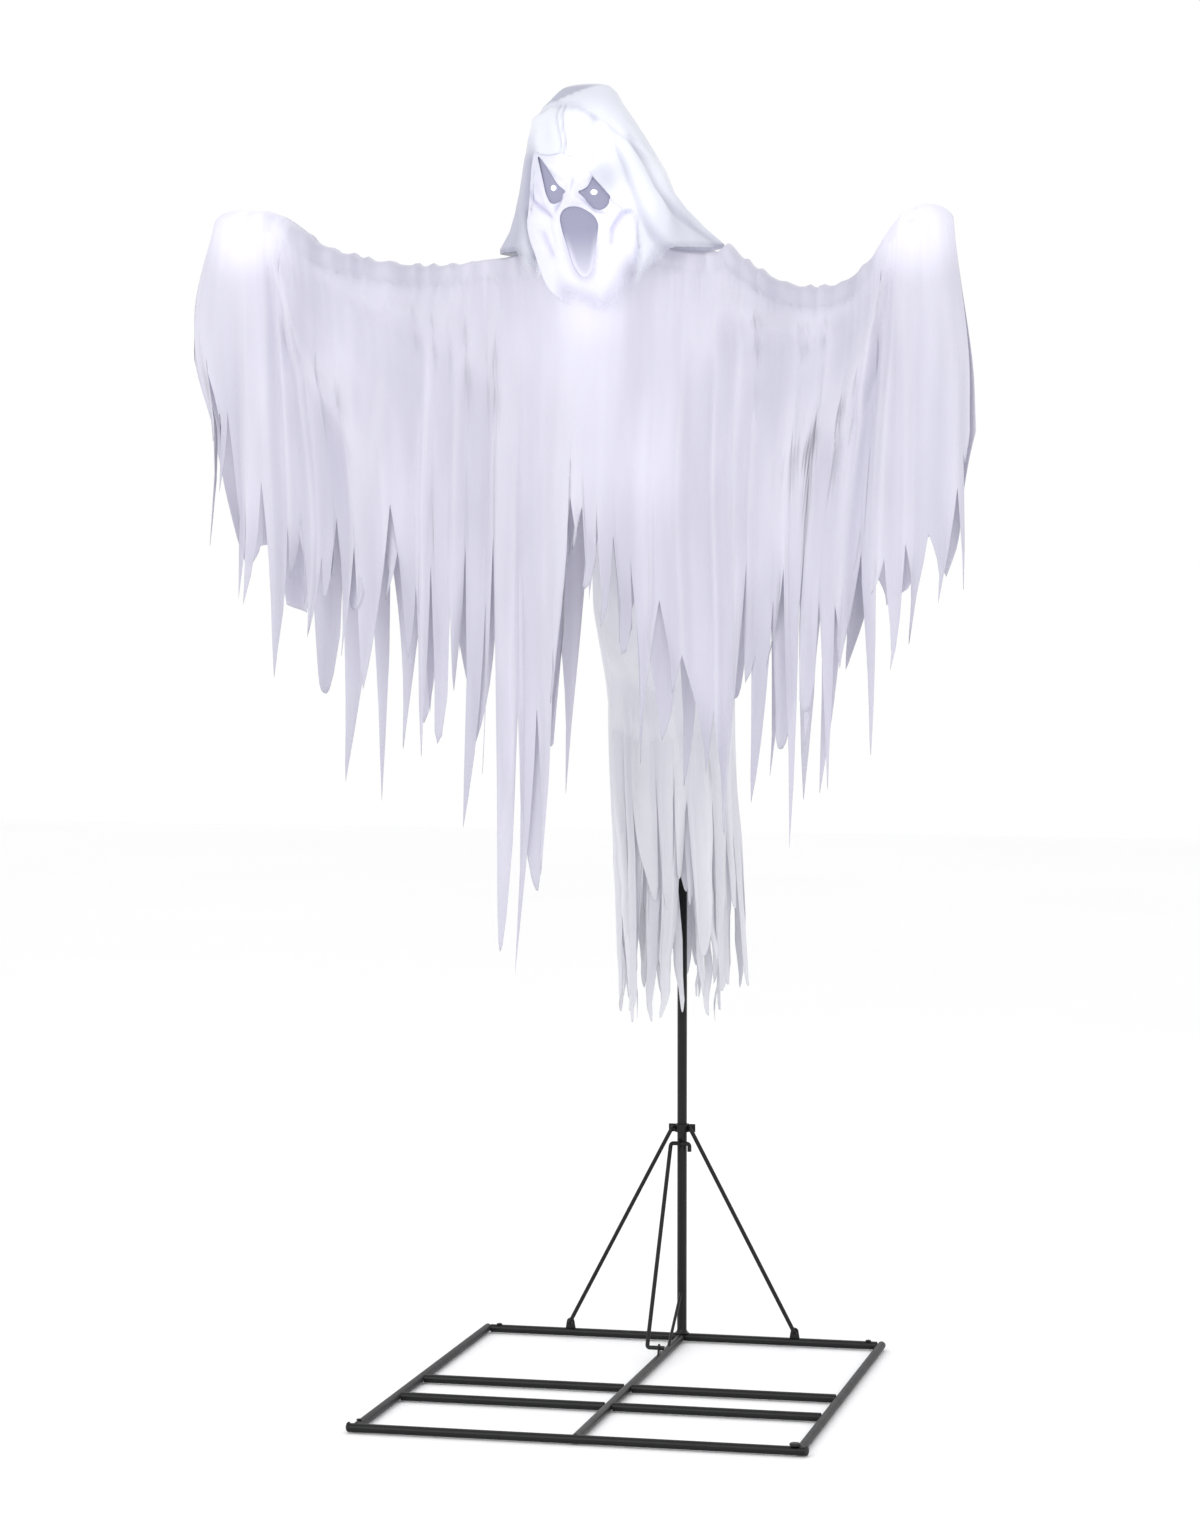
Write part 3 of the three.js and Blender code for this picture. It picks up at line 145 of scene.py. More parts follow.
def powderCoat(kind):
    low, high, smooth, rough = coatSettings[kind]
    material, tree, shader, coords = newMaterial("powderCoat" + kind.capitalize(), IOR=1.5, Coat_Weight=0.05,
                                                 Coat_Roughness=0.3, Specular_IOR_Level=0.3)
    speckle(tree, shader, coords, low, high, 40)
    roughen(tree, shader, coords, smooth, rough, 25)
    dimple(tree, shader, coords, 1.6, 0.25, 0.05)
    return material


# blackened zinc plate: a dark metal with a slight uneven sheen
def blackZinc():
    material, tree, shader, coords = newMaterial("blackZinc", Metallic=0.9)
    speckle(tree, shader, coords, "#1c1c1f", "#34343a", 6)
    roughen(tree, shader, coords, 0.28, 0.5, 4)
    return material


# moulded plastics: nylon caps, ABS cases, blow moulded polyethylene, all with a spark eroded grain
plasticSettings = {
    "mouldedNylon": ("#0c0c0d", "#151517", 0.5, 0.66, 0.9, 0.35),
    "mouldedAbs": ("#1d1d20", "#26262a", 0.45, 0.6, 0.7, 0.3),
    "redAbs": ("#a52424", "#b83030", 0.3, 0.42, 0.8, 0.15),
    "blownPolyethylene": ("#e2e2e8", "#eeeef3", 0.4, 0.55, 2.5, 0.2),
}


def mouldedPlastic(kind):
    low, high, smooth, rough, grain, strength = plasticSettings[kind]
    material, tree, shader, coords = newMaterial(kind, IOR=1.49)
    speckle(tree, shader, coords, low, high, 30)
    roughen(tree, shader, coords, smooth, rough, 12)
    dimple(tree, shader, coords, grain, strength, 0.08)
    return material


# glows painted on the cloth where a cool white lamp shines through it; the shoulder, collar and chin glows
# are painted light with no lamp behind them, lifting the shade there: x, forward, height, reach of the glow
# in mm, strength
paintedGlows = {
    "leftHand": (-640, 720, 2190, 75, 0.30),
    "rightHand": (640, 720, 2160, 75, 0.30),
    "rightOfFace": (112, 735, 2165, 85, 0.28),
    # painted light lifting the shade inside the hood's sides, with no lamp behind it
    "rightShoulder": (190, 552, 2152, 78, 0.22),
    "leftShoulder": (-122, 552, 2146, 66, 0.16),
    "rightTemple": (118, 690, 2228, 60, 0.16),
    "forehead": (50, 725, 2345, 80, 0.30),
    "brow": (-5, 740, 2310, 75, 0.24),
    "cheeks": (0, 745, 2130, 130, 0.16),
    # painted light lifting the shade on the chest and under the chin, with no lamp behind it
    "collar": (30, 690, 2060, 190, 0.05),
    "chin": (22, 690, 2045, 72, 0.16),
    "chest": (20, 700, 1925, 100, 0.07),
    "waist": (90, 680, 1765, 110, 0.10),
}


def addGlow(tree, shader, coords, names, fold, gain=1.0, base=0.0):
    # painted glow, as of light coming through from each lamp, fading with distance and dimmed where the
    # painted fold shade lies
    total = None
    # a painted even glow over the whole surface, where one is given
    shader.inputs["Emission Strength"].default_value = base
    for name in names:
        x, forward, z, reach, strength = paintedGlows[name]
        far = addNode(tree, "ShaderNodeVectorMath", {"operation": "DISTANCE"}, {0: coords})
        far.inputs[1].default_value = place(x, forward, z)
        fade = addNode(tree, "ShaderNodeMapRange", {"interpolation_type": "SMOOTHERSTEP", "From Min": 0.0,
                       "From Max": reach * 1.7 / 1000, "To Min": strength * gain, "To Max": 0.0},
                       {"Value": far.outputs["Value"]})
        if total is None:
            total = fade.outputs["Result"]
        else:
            total = addNode(tree, "ShaderNodeMath", {"operation": "ADD"},
                            {0: total, 1: fade.outputs["Result"]}).outputs["Value"]
    shader.inputs["Emission Color"].default_value = toLinear("#eeeefa")
    if total is not None:
        total = addNode(tree, "ShaderNodeMath", {"operation": "ADD"}, {0: total})
        total.inputs[1].default_value = base
        held = addNode(tree, "ShaderNodeMapRange", {"To Min": 1.0, "To Max": 0.2}, {"Value": fold})
        total = addNode(tree, "ShaderNodeMath", {"operation": "MULTIPLY"},
                        {0: total.outputs["Value"], 1: held.outputs["Result"]})
        tree.links.new(total.outputs["Value"], shader.inputs["Emission Strength"])


# polyester voile: thin crisp woven cloth, slightly sheer, with fine creases where it was folded
voileSettings = {
    # two tones, how much it covers, how strong its painted lamp glows are, and a painted even glow standing
    # for daylight through the cloth, which lifts its shade
    "robe": ("#bfbdca", "#cbc9d6", 0.93, 1.0, 0.12),
    "tail": ("#cbcbd1", "#d7d7dc", 0.9, 0.0, 0.12),
    "casing": ("#babbc6", "#c6c7d2", 0.96, 0.8, 0.12),
    "hood": ("#cdd0d8", "#d7dae1", 0.97, 1.0, 0.12),
}
# painted shade: the colour the cloth turns towards in its folds, valleys and shaded sides
foldShadeColour = "#9494ab"


def addShade(tree, shader, deep, cover=None):
    # painted shade: the sheets carry how much shade lies on each point, in folds, valleys and shaded sides
    # (shade), which blends the colour towards the given one, and how thin the cloth is there (sheer)
    fold = addNode(tree, "ShaderNodeAttribute", {"attribute_name": "shade"})
    colour = shader.inputs["Base Color"].links[0].from_socket
    blend = addNode(tree, "ShaderNodeMix", {"data_type": "RGBA"})
    tree.links.new(fold.outputs["Fac"], blend.inputs[0])
    tree.links.new(colour, blend.inputs[6])
    blend.inputs[7].default_value = toLinear(deep)
    tree.links.new(blend.outputs[2], shader.inputs["Base Color"])
    if cover is not None:
        thin = addNode(tree, "ShaderNodeAttribute", {"attribute_name": "sheer"})
        alpha = addNode(tree, "ShaderNodeMapRange", {"To Min": cover, "To Max": 0.0},
                        {"Value": thin.outputs["Fac"]})
        tree.links.new(alpha.outputs["Result"], shader.inputs["Alpha"])
    return fold.outputs["Fac"]


def polyesterVoile(kind, glows):
    low, high, cover, gain, paintedDaylight = voileSettings[kind]
    material, tree, shader, coords = newMaterial("polyesterVoile" + kind.capitalize(), IOR=1.46,
                                                 Roughness=0.82, Specular_IOR_Level=0.25,
                                                 Sheen_Weight=0.25, Sheen_Roughness=0.5)
    # slow changes of tone run down the cloth, where it lies single or double
    hung = addNode(tree, "ShaderNodeMapping", {"Scale": (1, 1, 0.22)}, {"Vector": coords})
    speckle(tree, shader, hung.outputs["Vector"], low, high, 80, 2.0)
    # creases run mostly downwards: the pattern is stretched four times in height
    stretch = addNode(tree, "ShaderNodeMapping", {"Scale": (1, 1, 0.25)}, {"Vector": coords})
    crease = addNode(tree, "ShaderNodeTexNoise", {"Scale": 45.0, "Detail": 3.0, "Roughness": 0.55},
                     {"Vector": stretch.outputs["Vector"]})
    # threads are about 0.25 mm apart; the grain is drawn at 2 mm, the finest that shows
    grain = addNode(tree, "ShaderNodeTexNoise", {"Scale": 500.0, "Detail": 1.0}, {"Vector": coords})
    weave = addNode(tree, "ShaderNodeBump", {"Strength": 0.12, "Distance": 0.0004},
                    {"Height": grain.outputs["Fac"]})
    bump = addNode(tree, "ShaderNodeBump", {"Strength": 0.22, "Distance": 0.004},
                   {"Height": crease.outputs["Fac"], "Normal": weave.outputs["Normal"]})
    tree.links.new(bump.outputs["Normal"], shader.inputs["Normal"])
    # painted shade in the folds, valleys and shaded sides
    fold = addShade(tree, shader, foldShadeColour, cover)
    addGlow(tree, shader, coords, glows, fold, gain, paintedDaylight)
    return material


# soft vinyl: smooth, slightly waxy, lit from behind
def softVinyl():
    material, tree, shader, coords = newMaterial("softVinyl", IOR=1.53, Subsurface_Weight=0.2,
                                                 Subsurface_Scale=0.01, Roughness=0.55)
    shader.inputs["Subsurface Radius"].default_value = (1.0, 0.95, 0.9)
    speckle(tree, shader, coords, "#d2d2e2", "#dbdbea", 60)
    dimple(tree, shader, coords, 3.0, 0.06, 0.1)
    # painted shade in lavender, in the creases, round the mouth and towards the foot
    fold = addShade(tree, shader, "#aaa7c8", 1.0)
    addGlow(tree, shader, coords, ("brow", "cheeks", "rightOfFace"), fold, 1.1)
    return material


# grey mesh behind the openings: darkest at the top of the mouth, fading to the mask's white at its foot
def screenVoile():
    material, tree, shader, coords = newMaterial("screenVoile", IOR=1.46, Roughness=0.85)
    split = addNode(tree, "ShaderNodeSeparateXYZ", {}, {"Vector": coords})
    fade = addNode(tree, "ShaderNodeMapRange", {"interpolation_type": "SMOOTHSTEP", "From Min": 2.04,
                   "From Max": 2.18}, {"Value": split.outputs["Z"]})
    ramp = addNode(tree, "ShaderNodeValToRGB", {}, {"Fac": fade.outputs["Result"]})
    ramp.color_ramp.elements[0].color = toLinear("#e4e3f2")
    ramp.color_ramp.elements[1].color = toLinear("#9898b0")
    tree.links.new(ramp.outputs["Color"], shader.inputs["Base Color"])
    # painted light: near its lower edges the mesh is lightened towards the vinyl's glow
    addShade(tree, shader, "#e9e8f6")
    # mesh of about 0.8 mm, drawn at 2.5 mm
    weave = addNode(tree, "ShaderNodeTexVoronoi", {"Scale": 400.0}, {"Vector": coords})
    bump = addNode(tree, "ShaderNodeBump", {"Strength": 0.15, "Distance": 0.0005},
                   {"Height": weave.outputs["Distance"]})
    tree.links.new(bump.outputs["Normal"], shader.inputs["Normal"])
    return material


# frosted polycarbonate lens over cool white lamps
def frostedLens():
    material, tree, shader, coords = newMaterial("frostedPolycarbonate", IOR=1.58, Roughness=0.35,
                                                 Emission_Strength=2.0)
    shader.inputs["Emission Color"].default_value = toLinear("#eef5ff")
    speckle(tree, shader, coords, "#f0f5ff", "#fbfdff", 5)
    dimple(tree, shader, coords, 0.8, 0.2, 0.05)
    return material


robeGlows = ("leftHand", "rightHand", "collar", "chin", "chest", "waist")
hoodGlows = ("forehead", "rightTemple", "rightShoulder", "leftShoulder", "rightOfFace", "cheeks")
materials = {
    "powderCoatSatin": powderCoat("satin"),
    "powderCoatDull": powderCoat("dull"),
    "blackZinc": blackZinc(),
    "mouldedNylon": mouldedPlastic("mouldedNylon"),
    "mouldedAbs": mouldedPlastic("mouldedAbs"),
    "redAbs": mouldedPlastic("redAbs"),
    "blownPolyethylene": mouldedPlastic("blownPolyethylene"),
    "robeVoile": polyesterVoile("robe", robeGlows),
    "hoodVoile": polyesterVoile("hood", hoodGlows),
    "tailVoile": polyesterVoile("tail", ()),
    "casingVoile": polyesterVoile("casing", ("leftHand", "rightHand")),
    "softVinyl": softVinyl(),
    "screenVoile": screenVoile(),
    "frostedLens": frostedLens(),
}

slotFinish = {
    "black_steel": "powderCoatSatin",
    "matte_steel": "powderCoatDull",
    "bolts": "blackZinc",
    "cap_plastic": "mouldedNylon",
    "case_plastic": "mouldedAbs",
    "torso_plastic": "blownPolyethylene",
    "mask_vinyl": "softVinyl",
    "screen_mesh": "screenVoile",
    "lamp_lens": "frostedLens",
    "button_red": "redAbs",
    "ghost_cloth": "robeVoile",
}
for part in frame["record"]["subparts"]:
    node = cadNodes[part["node"]]
    node.data.materials.clear()
    node.data.materials.append(materials[slotFinish[part["material_slot"]]])
print("materials ready")

# mesh helpers


def gridFaces(rows, columns, wrap):
    across = columns if wrap else columns - 1
    return [((r, c), (r + 1, c), (r + 1, (c + 1) % columns), (r, (c + 1) % columns))
            for r in range(rows - 1) for c in range(across)]


def thickSheet(name, points, faces, material, thickness, weld, shade, sheer):
    # a sheet through points in the figure's mm, thickened into a closed mesh
    mesh = bpy.data.meshes.new(name)
    mesh.from_pydata(placeAll(points).tolist(), [], faces)
    # the painted shade of the folds and the cloth's thinness go with each vertex, for its material
    for label, values in (("shade", shade), ("sheer", sheer)):
        layer = mesh.attributes.new(label, "FLOAT", "POINT")
        full = np.zeros(len(mesh.vertices)) if values is None else np.clip(values, 0, 1)
        layer.data.foreach_set("value", np.asarray(full, np.float32).ravel())
    if weld:
        work = bmesh.new()
        work.from_mesh(mesh)
        bmesh.ops.remove_doubles(work, verts=work.verts, dist=weld / 1000)
        work.to_mesh(mesh)
        work.free()
    sheet = bpy.data.objects.new(name, mesh)
    scene.collection.objects.link(sheet)
    skin = sheet.modifiers.new("thickness", "SOLIDIFY")
    skin.thickness = thickness / 1000
    skin.offset = 0
    bpy.context.view_layer.update()
    solid = bpy.data.meshes.new_from_object(sheet.evaluated_get(bpy.context.evaluated_depsgraph_get()))
    sheet.modifiers.clear()
    sheet.data = solid
    sheet.data.materials.clear()
    sheet.data.materials.append(material)
    sheet.data.polygons.foreach_set("use_smooth", [True] * len(solid.polygons))
    return sheet


def gridMesh(name, points, material, wrap=False, thickness=0.9, weld=0.0, shade=None, sheer=None):
    # a sheet through a grid of points, closed round itself where it wraps
    rows, columns = points.shape[:2]
    faces = [[r * columns + c for r, c in quad] for quad in gridFaces(rows, columns, wrap)]
    return thickSheet(name, points.reshape(-1, 3), faces, material, thickness, weld, shade, sheer)


def halfArea(obj):
    return sum(p.area for p in obj.data.polygons) / 2


# arms: where the rods run, for the cloth on them

armSettings = {
    -1: {"bends": ((440, 640, 2101),), "hand": (652, 690, 2146)},
    1: {"bends": ((385, 636, 2047), (485, 655, 2043)), "hand": (645, 690, 2121)},
}


def armLine(x):
    # forward and height of the arm rod's centre line at a given x
    x = np.asarray(x, float)
    forward = np.zeros_like(x)
    height = np.zeros_like(x)
    for side, arm in armSettings.items():
        line = np.array([(0, 600, 2105), (200, 600, 2105), *arm["bends"], arm["hand"]], float)
        here = x > 0 if side > 0 else x <= 0
        forward = np.where(here, np.interp(np.abs(x), line[:, 0], line[:, 1]), forward)
        height = np.where(here, np.interp(np.abs(x), line[:, 0], line[:, 2]), height)
    return forward, height


# tattered curtains


def tatteredColumns(hem, spacing, seed):
    # columns across a hem of notches and tips: x, hem height, and for each the strip it belongs to
    draw = np.random.RandomState(seed)
    xs, zs, strips = [], [], []
    for k in range(0, len(hem) - 2, 2):
        (xa, za), (xt, zt), (xb, zb) = hem[k:k + 3]
        length = 0.5 * (za + zb) - zt
        strip = {"tip": xt, "notches": (xa, za, xb, zb), "length": length}
        for motion in ("sway", "swing", "twist", "bend"):
            strip[motion] = draw.uniform(-1, 1)
        # some strips are blunt, most are pointed, a few are drawn out thin
        kind = draw.uniform()
        ends = (0.5, 0.85) if kind < 0.34 else (0.95, 1.6) if kind < 0.8 else (2.0, 3.2)
        power = (draw.uniform(*ends), draw.uniform(*ends))
        for (x0, z0, p, forwards) in ((xa, za, power[0], True), (xb, zb, power[1], False)):
            count = max(3, int(abs(xt - x0) / spacing))
            # down to the tip and back up; the next strip begins with the notch that this one ends in
            steps = range(count) if forwards else range(count - 1, 0 if k + 3 < len(hem) else -1, -1)
            for i in steps:
                u = i / count
                xs.append(x0 + (xt - x0) * u)
                zs.append(zt + (z0 - zt) * (1 - u) ** p)
                strips.append(strip)
            if forwards:
                xs.append(xt)
                zs.append(zt)
                strips.append(strip)
    return np.array(xs), np.array(zs), strips


def tatter(points, xs, strips, settings):
    # each strip sways, swings and twists more the further it hangs below its notches
    lower = np.zeros(points.shape[:2])
    for c, strip in enumerate(strips):
        xa, za, xb, zb = strip["notches"]
        share = np.clip((xs[c] - xa) / max(xb - xa, 1), 0, 1)
        notch = za + (zb - za) * share
        hang = np.clip((notch - points[:, c, 2]) / max(strip["length"], 60), 0, 1)
        hang = hang ** 1.4
        side = xs[c] - strip["tip"]
        reach = min(strip["length"], 350)
        turn = hang * strip["twist"] * settings["twist"]
        wave = np.sin(hang * (2.6 + strip["sway"]) + 3 * strip["bend"]) - math.sin(3 * strip["bend"])
        points[:, c, 0] += hang * strip["sway"] * settings["sway"] * reach - side * (1 - np.cos(turn))
        points[:, c, 0] += hang * wave * strip["bend"] * settings["bend"]
        points[:, c, 1] += hang * strip["swing"] * settings["swing"] + side * np.sin(turn)
        lower[:, c] = hang
    return lower


robeSettings = {
    "rows": 90,
    "roofRows": 12,  # rows that bend over the arm before the cloth hangs
    "spacing": 4.4,
    "wide": 46,  # half the width of the cloth over a hand
    "flare": {-1: (62, 210), 1: (44, 330)},  # how far the ends swing out over the hands, and how far down
    "handZone": (500, 585),  # along the arm, where the casing gives way to the loose cloth over the hand
    "armTop": 19,  # from the rod's centre line up to the cloth
    "armClear": 21.5,
    "ruffle": 3.4,
    "sway": 0.055,
    "swing": 18,
    "twist": 0.9,
    "bend": 12,
    "ridge": {  # height of the cloth's top beside the neck, along each arm and over the hand
        -1: ((100, 2132), (114, 2134), (124, 2142), (140, 2140), (163, 2134), (205, 2131), (261, 2123),
             (320, 2122), (380, 2127), (419, 2134), (449, 2143), (489, 2152), (519, 2168), (549, 2194),
             (579, 2214), (610, 2225), (640, 2228)),
        1: ((94, 2132), (104, 2150), (124, 2154), (138, 2153), (160, 2143), (185, 2139), (215, 2136),
            (246, 2135), (256, 2143), (264, 2146), (276, 2138), (290, 2125), (310, 2110), (340, 2092),
            (385, 2069), (440, 2064), (490, 2068), (525, 2092), (550, 2114), (570, 2142), (585, 2164),
            (606, 2186), (640, 2202)),
    },
}
foldSettings = {  # distance from fold to fold along the cloth, and depth
    "gather": (19, 3.2),
    "middle": (62, 1.5),
    "broad": (148, 13),
    "fan": (74, 9),
    "swag": (11, 13),  # number of folds to a full turn about the hand
    "stitch": (38, 3.5),  # the casing's seam below the ridge, and its groove
}

# path along the cloth and height, from notch to tip to notch
frontHem = [
    (-716, 1950), (-708, 1796), (-699, 1900), (-691, 1600), (-683, 1925), (-672, 1700), (-662, 1850),
    (-645, 1500), (-628, 1726), (-613, 1491), (-600, 1720), (-577, 1355), (-556, 1640), (-545, 1540),
    (-535, 1650), (-518, 1491), (-508, 1620), (-502, 1435), (-494, 1580), (-486, 1500), (-470, 1650),
    (-449, 1395), (-432, 1600), (-412, 1332), (-367, 1678), (-336, 1389), (-327, 1540), (-313, 1208),
    (-294, 1566), (-279, 1231), (-262, 1480), (-246, 1330), (-236, 1600), (-219, 1074), (-197, 1500),
    (-190, 1176), (-178, 1621), (-148, 845), (-130, 1290), (-112, 803), (-92, 1300), (-60, 994),
    (-42, 1418), (-24, 1310), (-8, 1690), (3, 1590), (14, 1672), (27, 1520), (38, 1655), (52, 1450),
    (64, 1620), (77, 1400), (90, 1570), (112, 1229), (140, 1500), (166, 1329), (190, 1400), (232, 1180),
    (246, 1300), (286, 1072), (318, 1673), (340, 1132), (362, 1500), (374, 1380), (384, 1560), (401, 1052),
    (420, 1654), (446, 1300), (458, 1500), (474, 1162), (490, 1493), (510, 1420), (532, 1627), (562, 1226),
    (572, 1565), (578, 1511), (588, 1574), (606, 1378), (624, 1600), (644, 1423), (656, 1618), (674, 1494),
    (688, 1700), (697, 1520), (704, 1759), (711, 1742), (716, 1800),
]
liningHem = [
    (-540, 1620), (-505, 1430), (-470, 1700), (-440, 1480), (-405, 1640), (-375, 1500), (-350, 1660),
    (-300, 1290), (-270, 1560), (-250, 1400), (-235, 1640), (-205, 1220), (-170, 1500), (-160, 1080),
    (-140, 1400), (-95, 960), (-75, 1350), (-44, 1230), (-26, 1650), (-10, 1560), (4, 1700), (28, 1500),
    (48, 1690), (80, 1420), (105, 1560), (150, 1240), (180, 1500), (215, 1290), (240, 1450), (265, 1260),
    (300, 1600), (325, 1350), (350, 1560), (375, 1230), (410, 1600), (440, 1240), (470, 1600), (500, 1380),
    (540, 1620),
]
backSettings = {  # nobody sees it in the photo: even strips, drawn at random
    "slit": (26.0, 1812),  # half the width and the top of the slit that the gooseneck comes out of
    "ends": (44.0, 690, 716, 1800),
    "strip": (38, 58),
    "tipAt": (14, 24),
    "notches": (1520, 1640),
    "tips": (1130, 1430),
    "rise": (420, 0.8),  # towards the hands the strips get shorter
    "uneven": 60,
    "seed": 5,
}


def backHem():
    draw = np.random.RandomState(backSettings["seed"])
    half = []
    x, last, end, endZ = backSettings["ends"]
    riseFrom, rise = backSettings["rise"]
    while x < last:
        half.append((x, draw.uniform(*backSettings["notches"])))
        tipX = x + draw.uniform(*backSettings["tipAt"])
        half.append((tipX, draw.uniform(*backSettings["tips"]) + rise * max(x - riseFrom, 0)))
        x += draw.uniform(*backSettings["strip"])
    half.append((end, endZ))
    slitX, slitZ = backSettings["slit"]
    half[0] = (slitX, slitZ)
    uneven = backSettings["uneven"]
    left = [(-a, b + draw.uniform(-uneven, uneven)) for a, b in half[1:]][::-1]
    return left + [(-slitX, slitZ), (0, slitZ - 6), (slitX, slitZ)] + half[1:]


def robeFolds(path, hang, hand, nearHand, bumps, seed):
    # how far the cloth stands out in its folds, and how much painted shade lies in their valleys: fine
    # gathers under the casing widen into fewer, deeper folds, which fan out from the hands and sag in swags
    # beside them
    waves = {name: 2 * np.pi / pitch for name, (pitch, _) in foldSettings.items()}
    depths = {name: depth for name, (_, depth) in foldSettings.items()}
    seam, groove = foldSettings["stitch"]
    far = np.abs(path)
    lag = path + 9 * wobble(hang / 330 + path / 400, seed + 1)
    below = ease(hang, seam - 4, seam + 4)
    gather = depths["gather"] * foldWave(lag * waves["gather"] + 5 * wobble(path / 36, seed + 2))
    gather = gather * np.exp(-hang / 70) * below
    gather = gather + robeSettings["ruffle"] * bumps * (1 - below) * ease(hang, 0, 10)
    stitch = -groove * np.exp(-(((hang - seam) / groove) ** 2)) * (1 - nearHand)
    middle = foldWave(lag * waves["middle"] + 2.4 * wobble(path / 90, seed + 3))
    middle = middle * (depths["middle"] + 5 * ease(hang, 40, 420))
    broad = foldWave(lag * waves["broad"] + 2.0 * wobble(path / 200, seed + 4))
    broad = broad * depths["broad"] * ease(hang, 30, 480)
    fan = foldWave(far * waves["fan"] + hang / 700) * depths["fan"] * nearHand * ease(hang, 20, 260)
    away = np.hypot(hand - far, hang * 0.8 + 30)
    sweep = np.arctan2(np.maximum(hand - far, 0), hang + 60)
    swag = foldWave(sweep * foldSettings["swag"][0] + 1.5 * wobble(away / 160, seed + 7)) * depths["swag"]
    swag = swag * ease(away, 60, 200) * (1 - ease(away, 380, 620))
    swag = swag * ease(hand - far, 0, 90) * ease(hang, 30, 110)
    # over the chest the cloth lies smooth
    calm = 1 - 0.8 * np.exp(-((path / 120) ** 2)) * (1 - ease(hang, 420, 760))
    fold = (gather * (1 - nearHand) + stitch + (middle + broad + fan + swag) * ease(hang, 0, 60)) * calm
    # painted shade in the valleys of the folds
    valley = np.clip(-(gather * 0.05 + middle * 0.014 + swag * 0.012 + broad * 0.010), 0, 0.5) * calm
    return fold, valley


def robeSheet(name, cut):
    # one sheet of the robe: it hangs from the arms, and its ends wrap round the hands
    settings = robeSettings
    seed = cut["seed"]
    path, hemZ, strips = tatteredColumns(cut["hem"], settings["spacing"], seed)
    left = path < 0
    side = np.where(left, -1.0, 1.0)
    far = np.abs(path)
    hand = np.where(left, armSettings[-1]["hand"][0], armSettings[1]["hand"][0])
    wide = settings["wide"]
    turn = np.clip((far - hand) / wide, 0, math.pi / 2)
    # columns that end between the arm and the body start nearer to the hand
    start = np.minimum(far, hand) + 52 * np.exp(-(((far - 470) / 105) ** 2))
    start = np.minimum(start, hand)
    lineForward, lineHeight = armLine(side * start)
    nearHand = ease(start, *settings["handZone"])
    ridge = np.where(left, np.interp(start, *np.array(settings["ridge"][-1], float).T),
                     np.interp(start, *np.array(settings["ridge"][1], float).T))
    bumps = foldWave(2 * np.pi * start / 38 + 2.2 * wobble(start / 70, 80 + seed % 2))
    crown = np.maximum(ridge, lineHeight + settings["armTop"])
    crown = crown + settings["ruffle"] * bumps * (1 - nearHand) * ease(start, 190, 290)
    # it bends over the arm like a roof, clear of the torso, and then hangs
    bulge = cut["chest"] * np.exp(-((path / cut["spread"]) ** 2))
    clear = np.maximum(settings["armClear"], bulge) + cut["lift"]
    depth = (clear * (1 - nearHand) + wide * nearHand) * np.cos(turn)
    roofShare = settings["roofRows"] / settings["rows"]
    roofDepth = 8 + 12 * ease(start, 190, 300) + 8 * nearHand
    t = np.linspace(0, 1, settings["rows"])[:, None]
    roof = np.sin(np.clip(t / roofShare, 0, 1) * math.pi / 2)
    dip = roofDepth * (1 - np.sqrt(np.maximum(1 - roof ** 2, 0)))
    fall = np.clip((t - roofShare) / (1 - roofShare), 0, 1) ** 1.15
    rimZ = crown - roofDepth
    z = np.where(fall > 0, rimZ + (hemZ - rimZ) * fall, crown - dip)
    hang = np.maximum(crown - z, 0)
    inset = 0.04 + 0.96 * roof  # how far out from the ridge the roof has come
    fold, valley = robeFolds(path, hang, hand, nearHand, bumps, seed)
    swing, over = (np.where(left, settings["flare"][-1][k], settings["flare"][1][k]) for k in (0, 1))
    # over the left hand a corner of the cloth stands off, and below it the strips hang straight again
    back = np.where(left, 0.6 * ease(hang, 270, 430), 0)
    flare = swing * ease(hang, -60, over) * (1 - back) * np.sin(turn)
    outward = np.minimum(far, hand) + wide * np.sin(turn)
    slant = ease(hang, 30, 620)
    x = start + (outward - start) * np.where(far > hand, inset, slant) + flare + fold * np.sin(turn)
    slack = (4 + 12 * ease(hang, 100, 500)) * (1 - nearHand) + 8 * nearHand * ease(hang, 60, 400)
    reach = (depth + slack) * inset
    forward = lineForward + cut["facing"] * (reach + fold * np.cos(turn) * inset)
    # the cloth over the hand is slightly crumpled
    crumple = 3.0 * wobble(far / 16 + 0.05 * z, seed + 6) * nearHand
    z = z + crumple * (1 - ease(hang, 40, 120)) * ease(hang, 0, 12)
    points = np.stack([side * x, forward + 0 * z, z], axis=-1)
    lower = tatter(points, path, strips, settings)
    # painted shade on the doubled cloth of the casing, in the band below it and in the valleys of the folds;
    # the strips get a little darker towards their ends, and single strips are thinner
    casing = (1 - ease(hang, 30, 60)) * (1 - nearHand) * ease(hang, -1, 4) * ease(start, 200, 320)
    under = (1 - ease(hang, 40, 260)) * (1 - nearHand) * ease(start, 200, 340)
    shade = (0.16 * casing + 0.08 * under + valley) * ease(np.abs(side * x), 60, 170) + 0.25 * valley
    return gridMesh(name, points, materials["robeVoile"], thickness=0.8, shade=shade + 0.1 * lower,
                    sheer=0.18 * ease(lower, 0.02, 0.4))


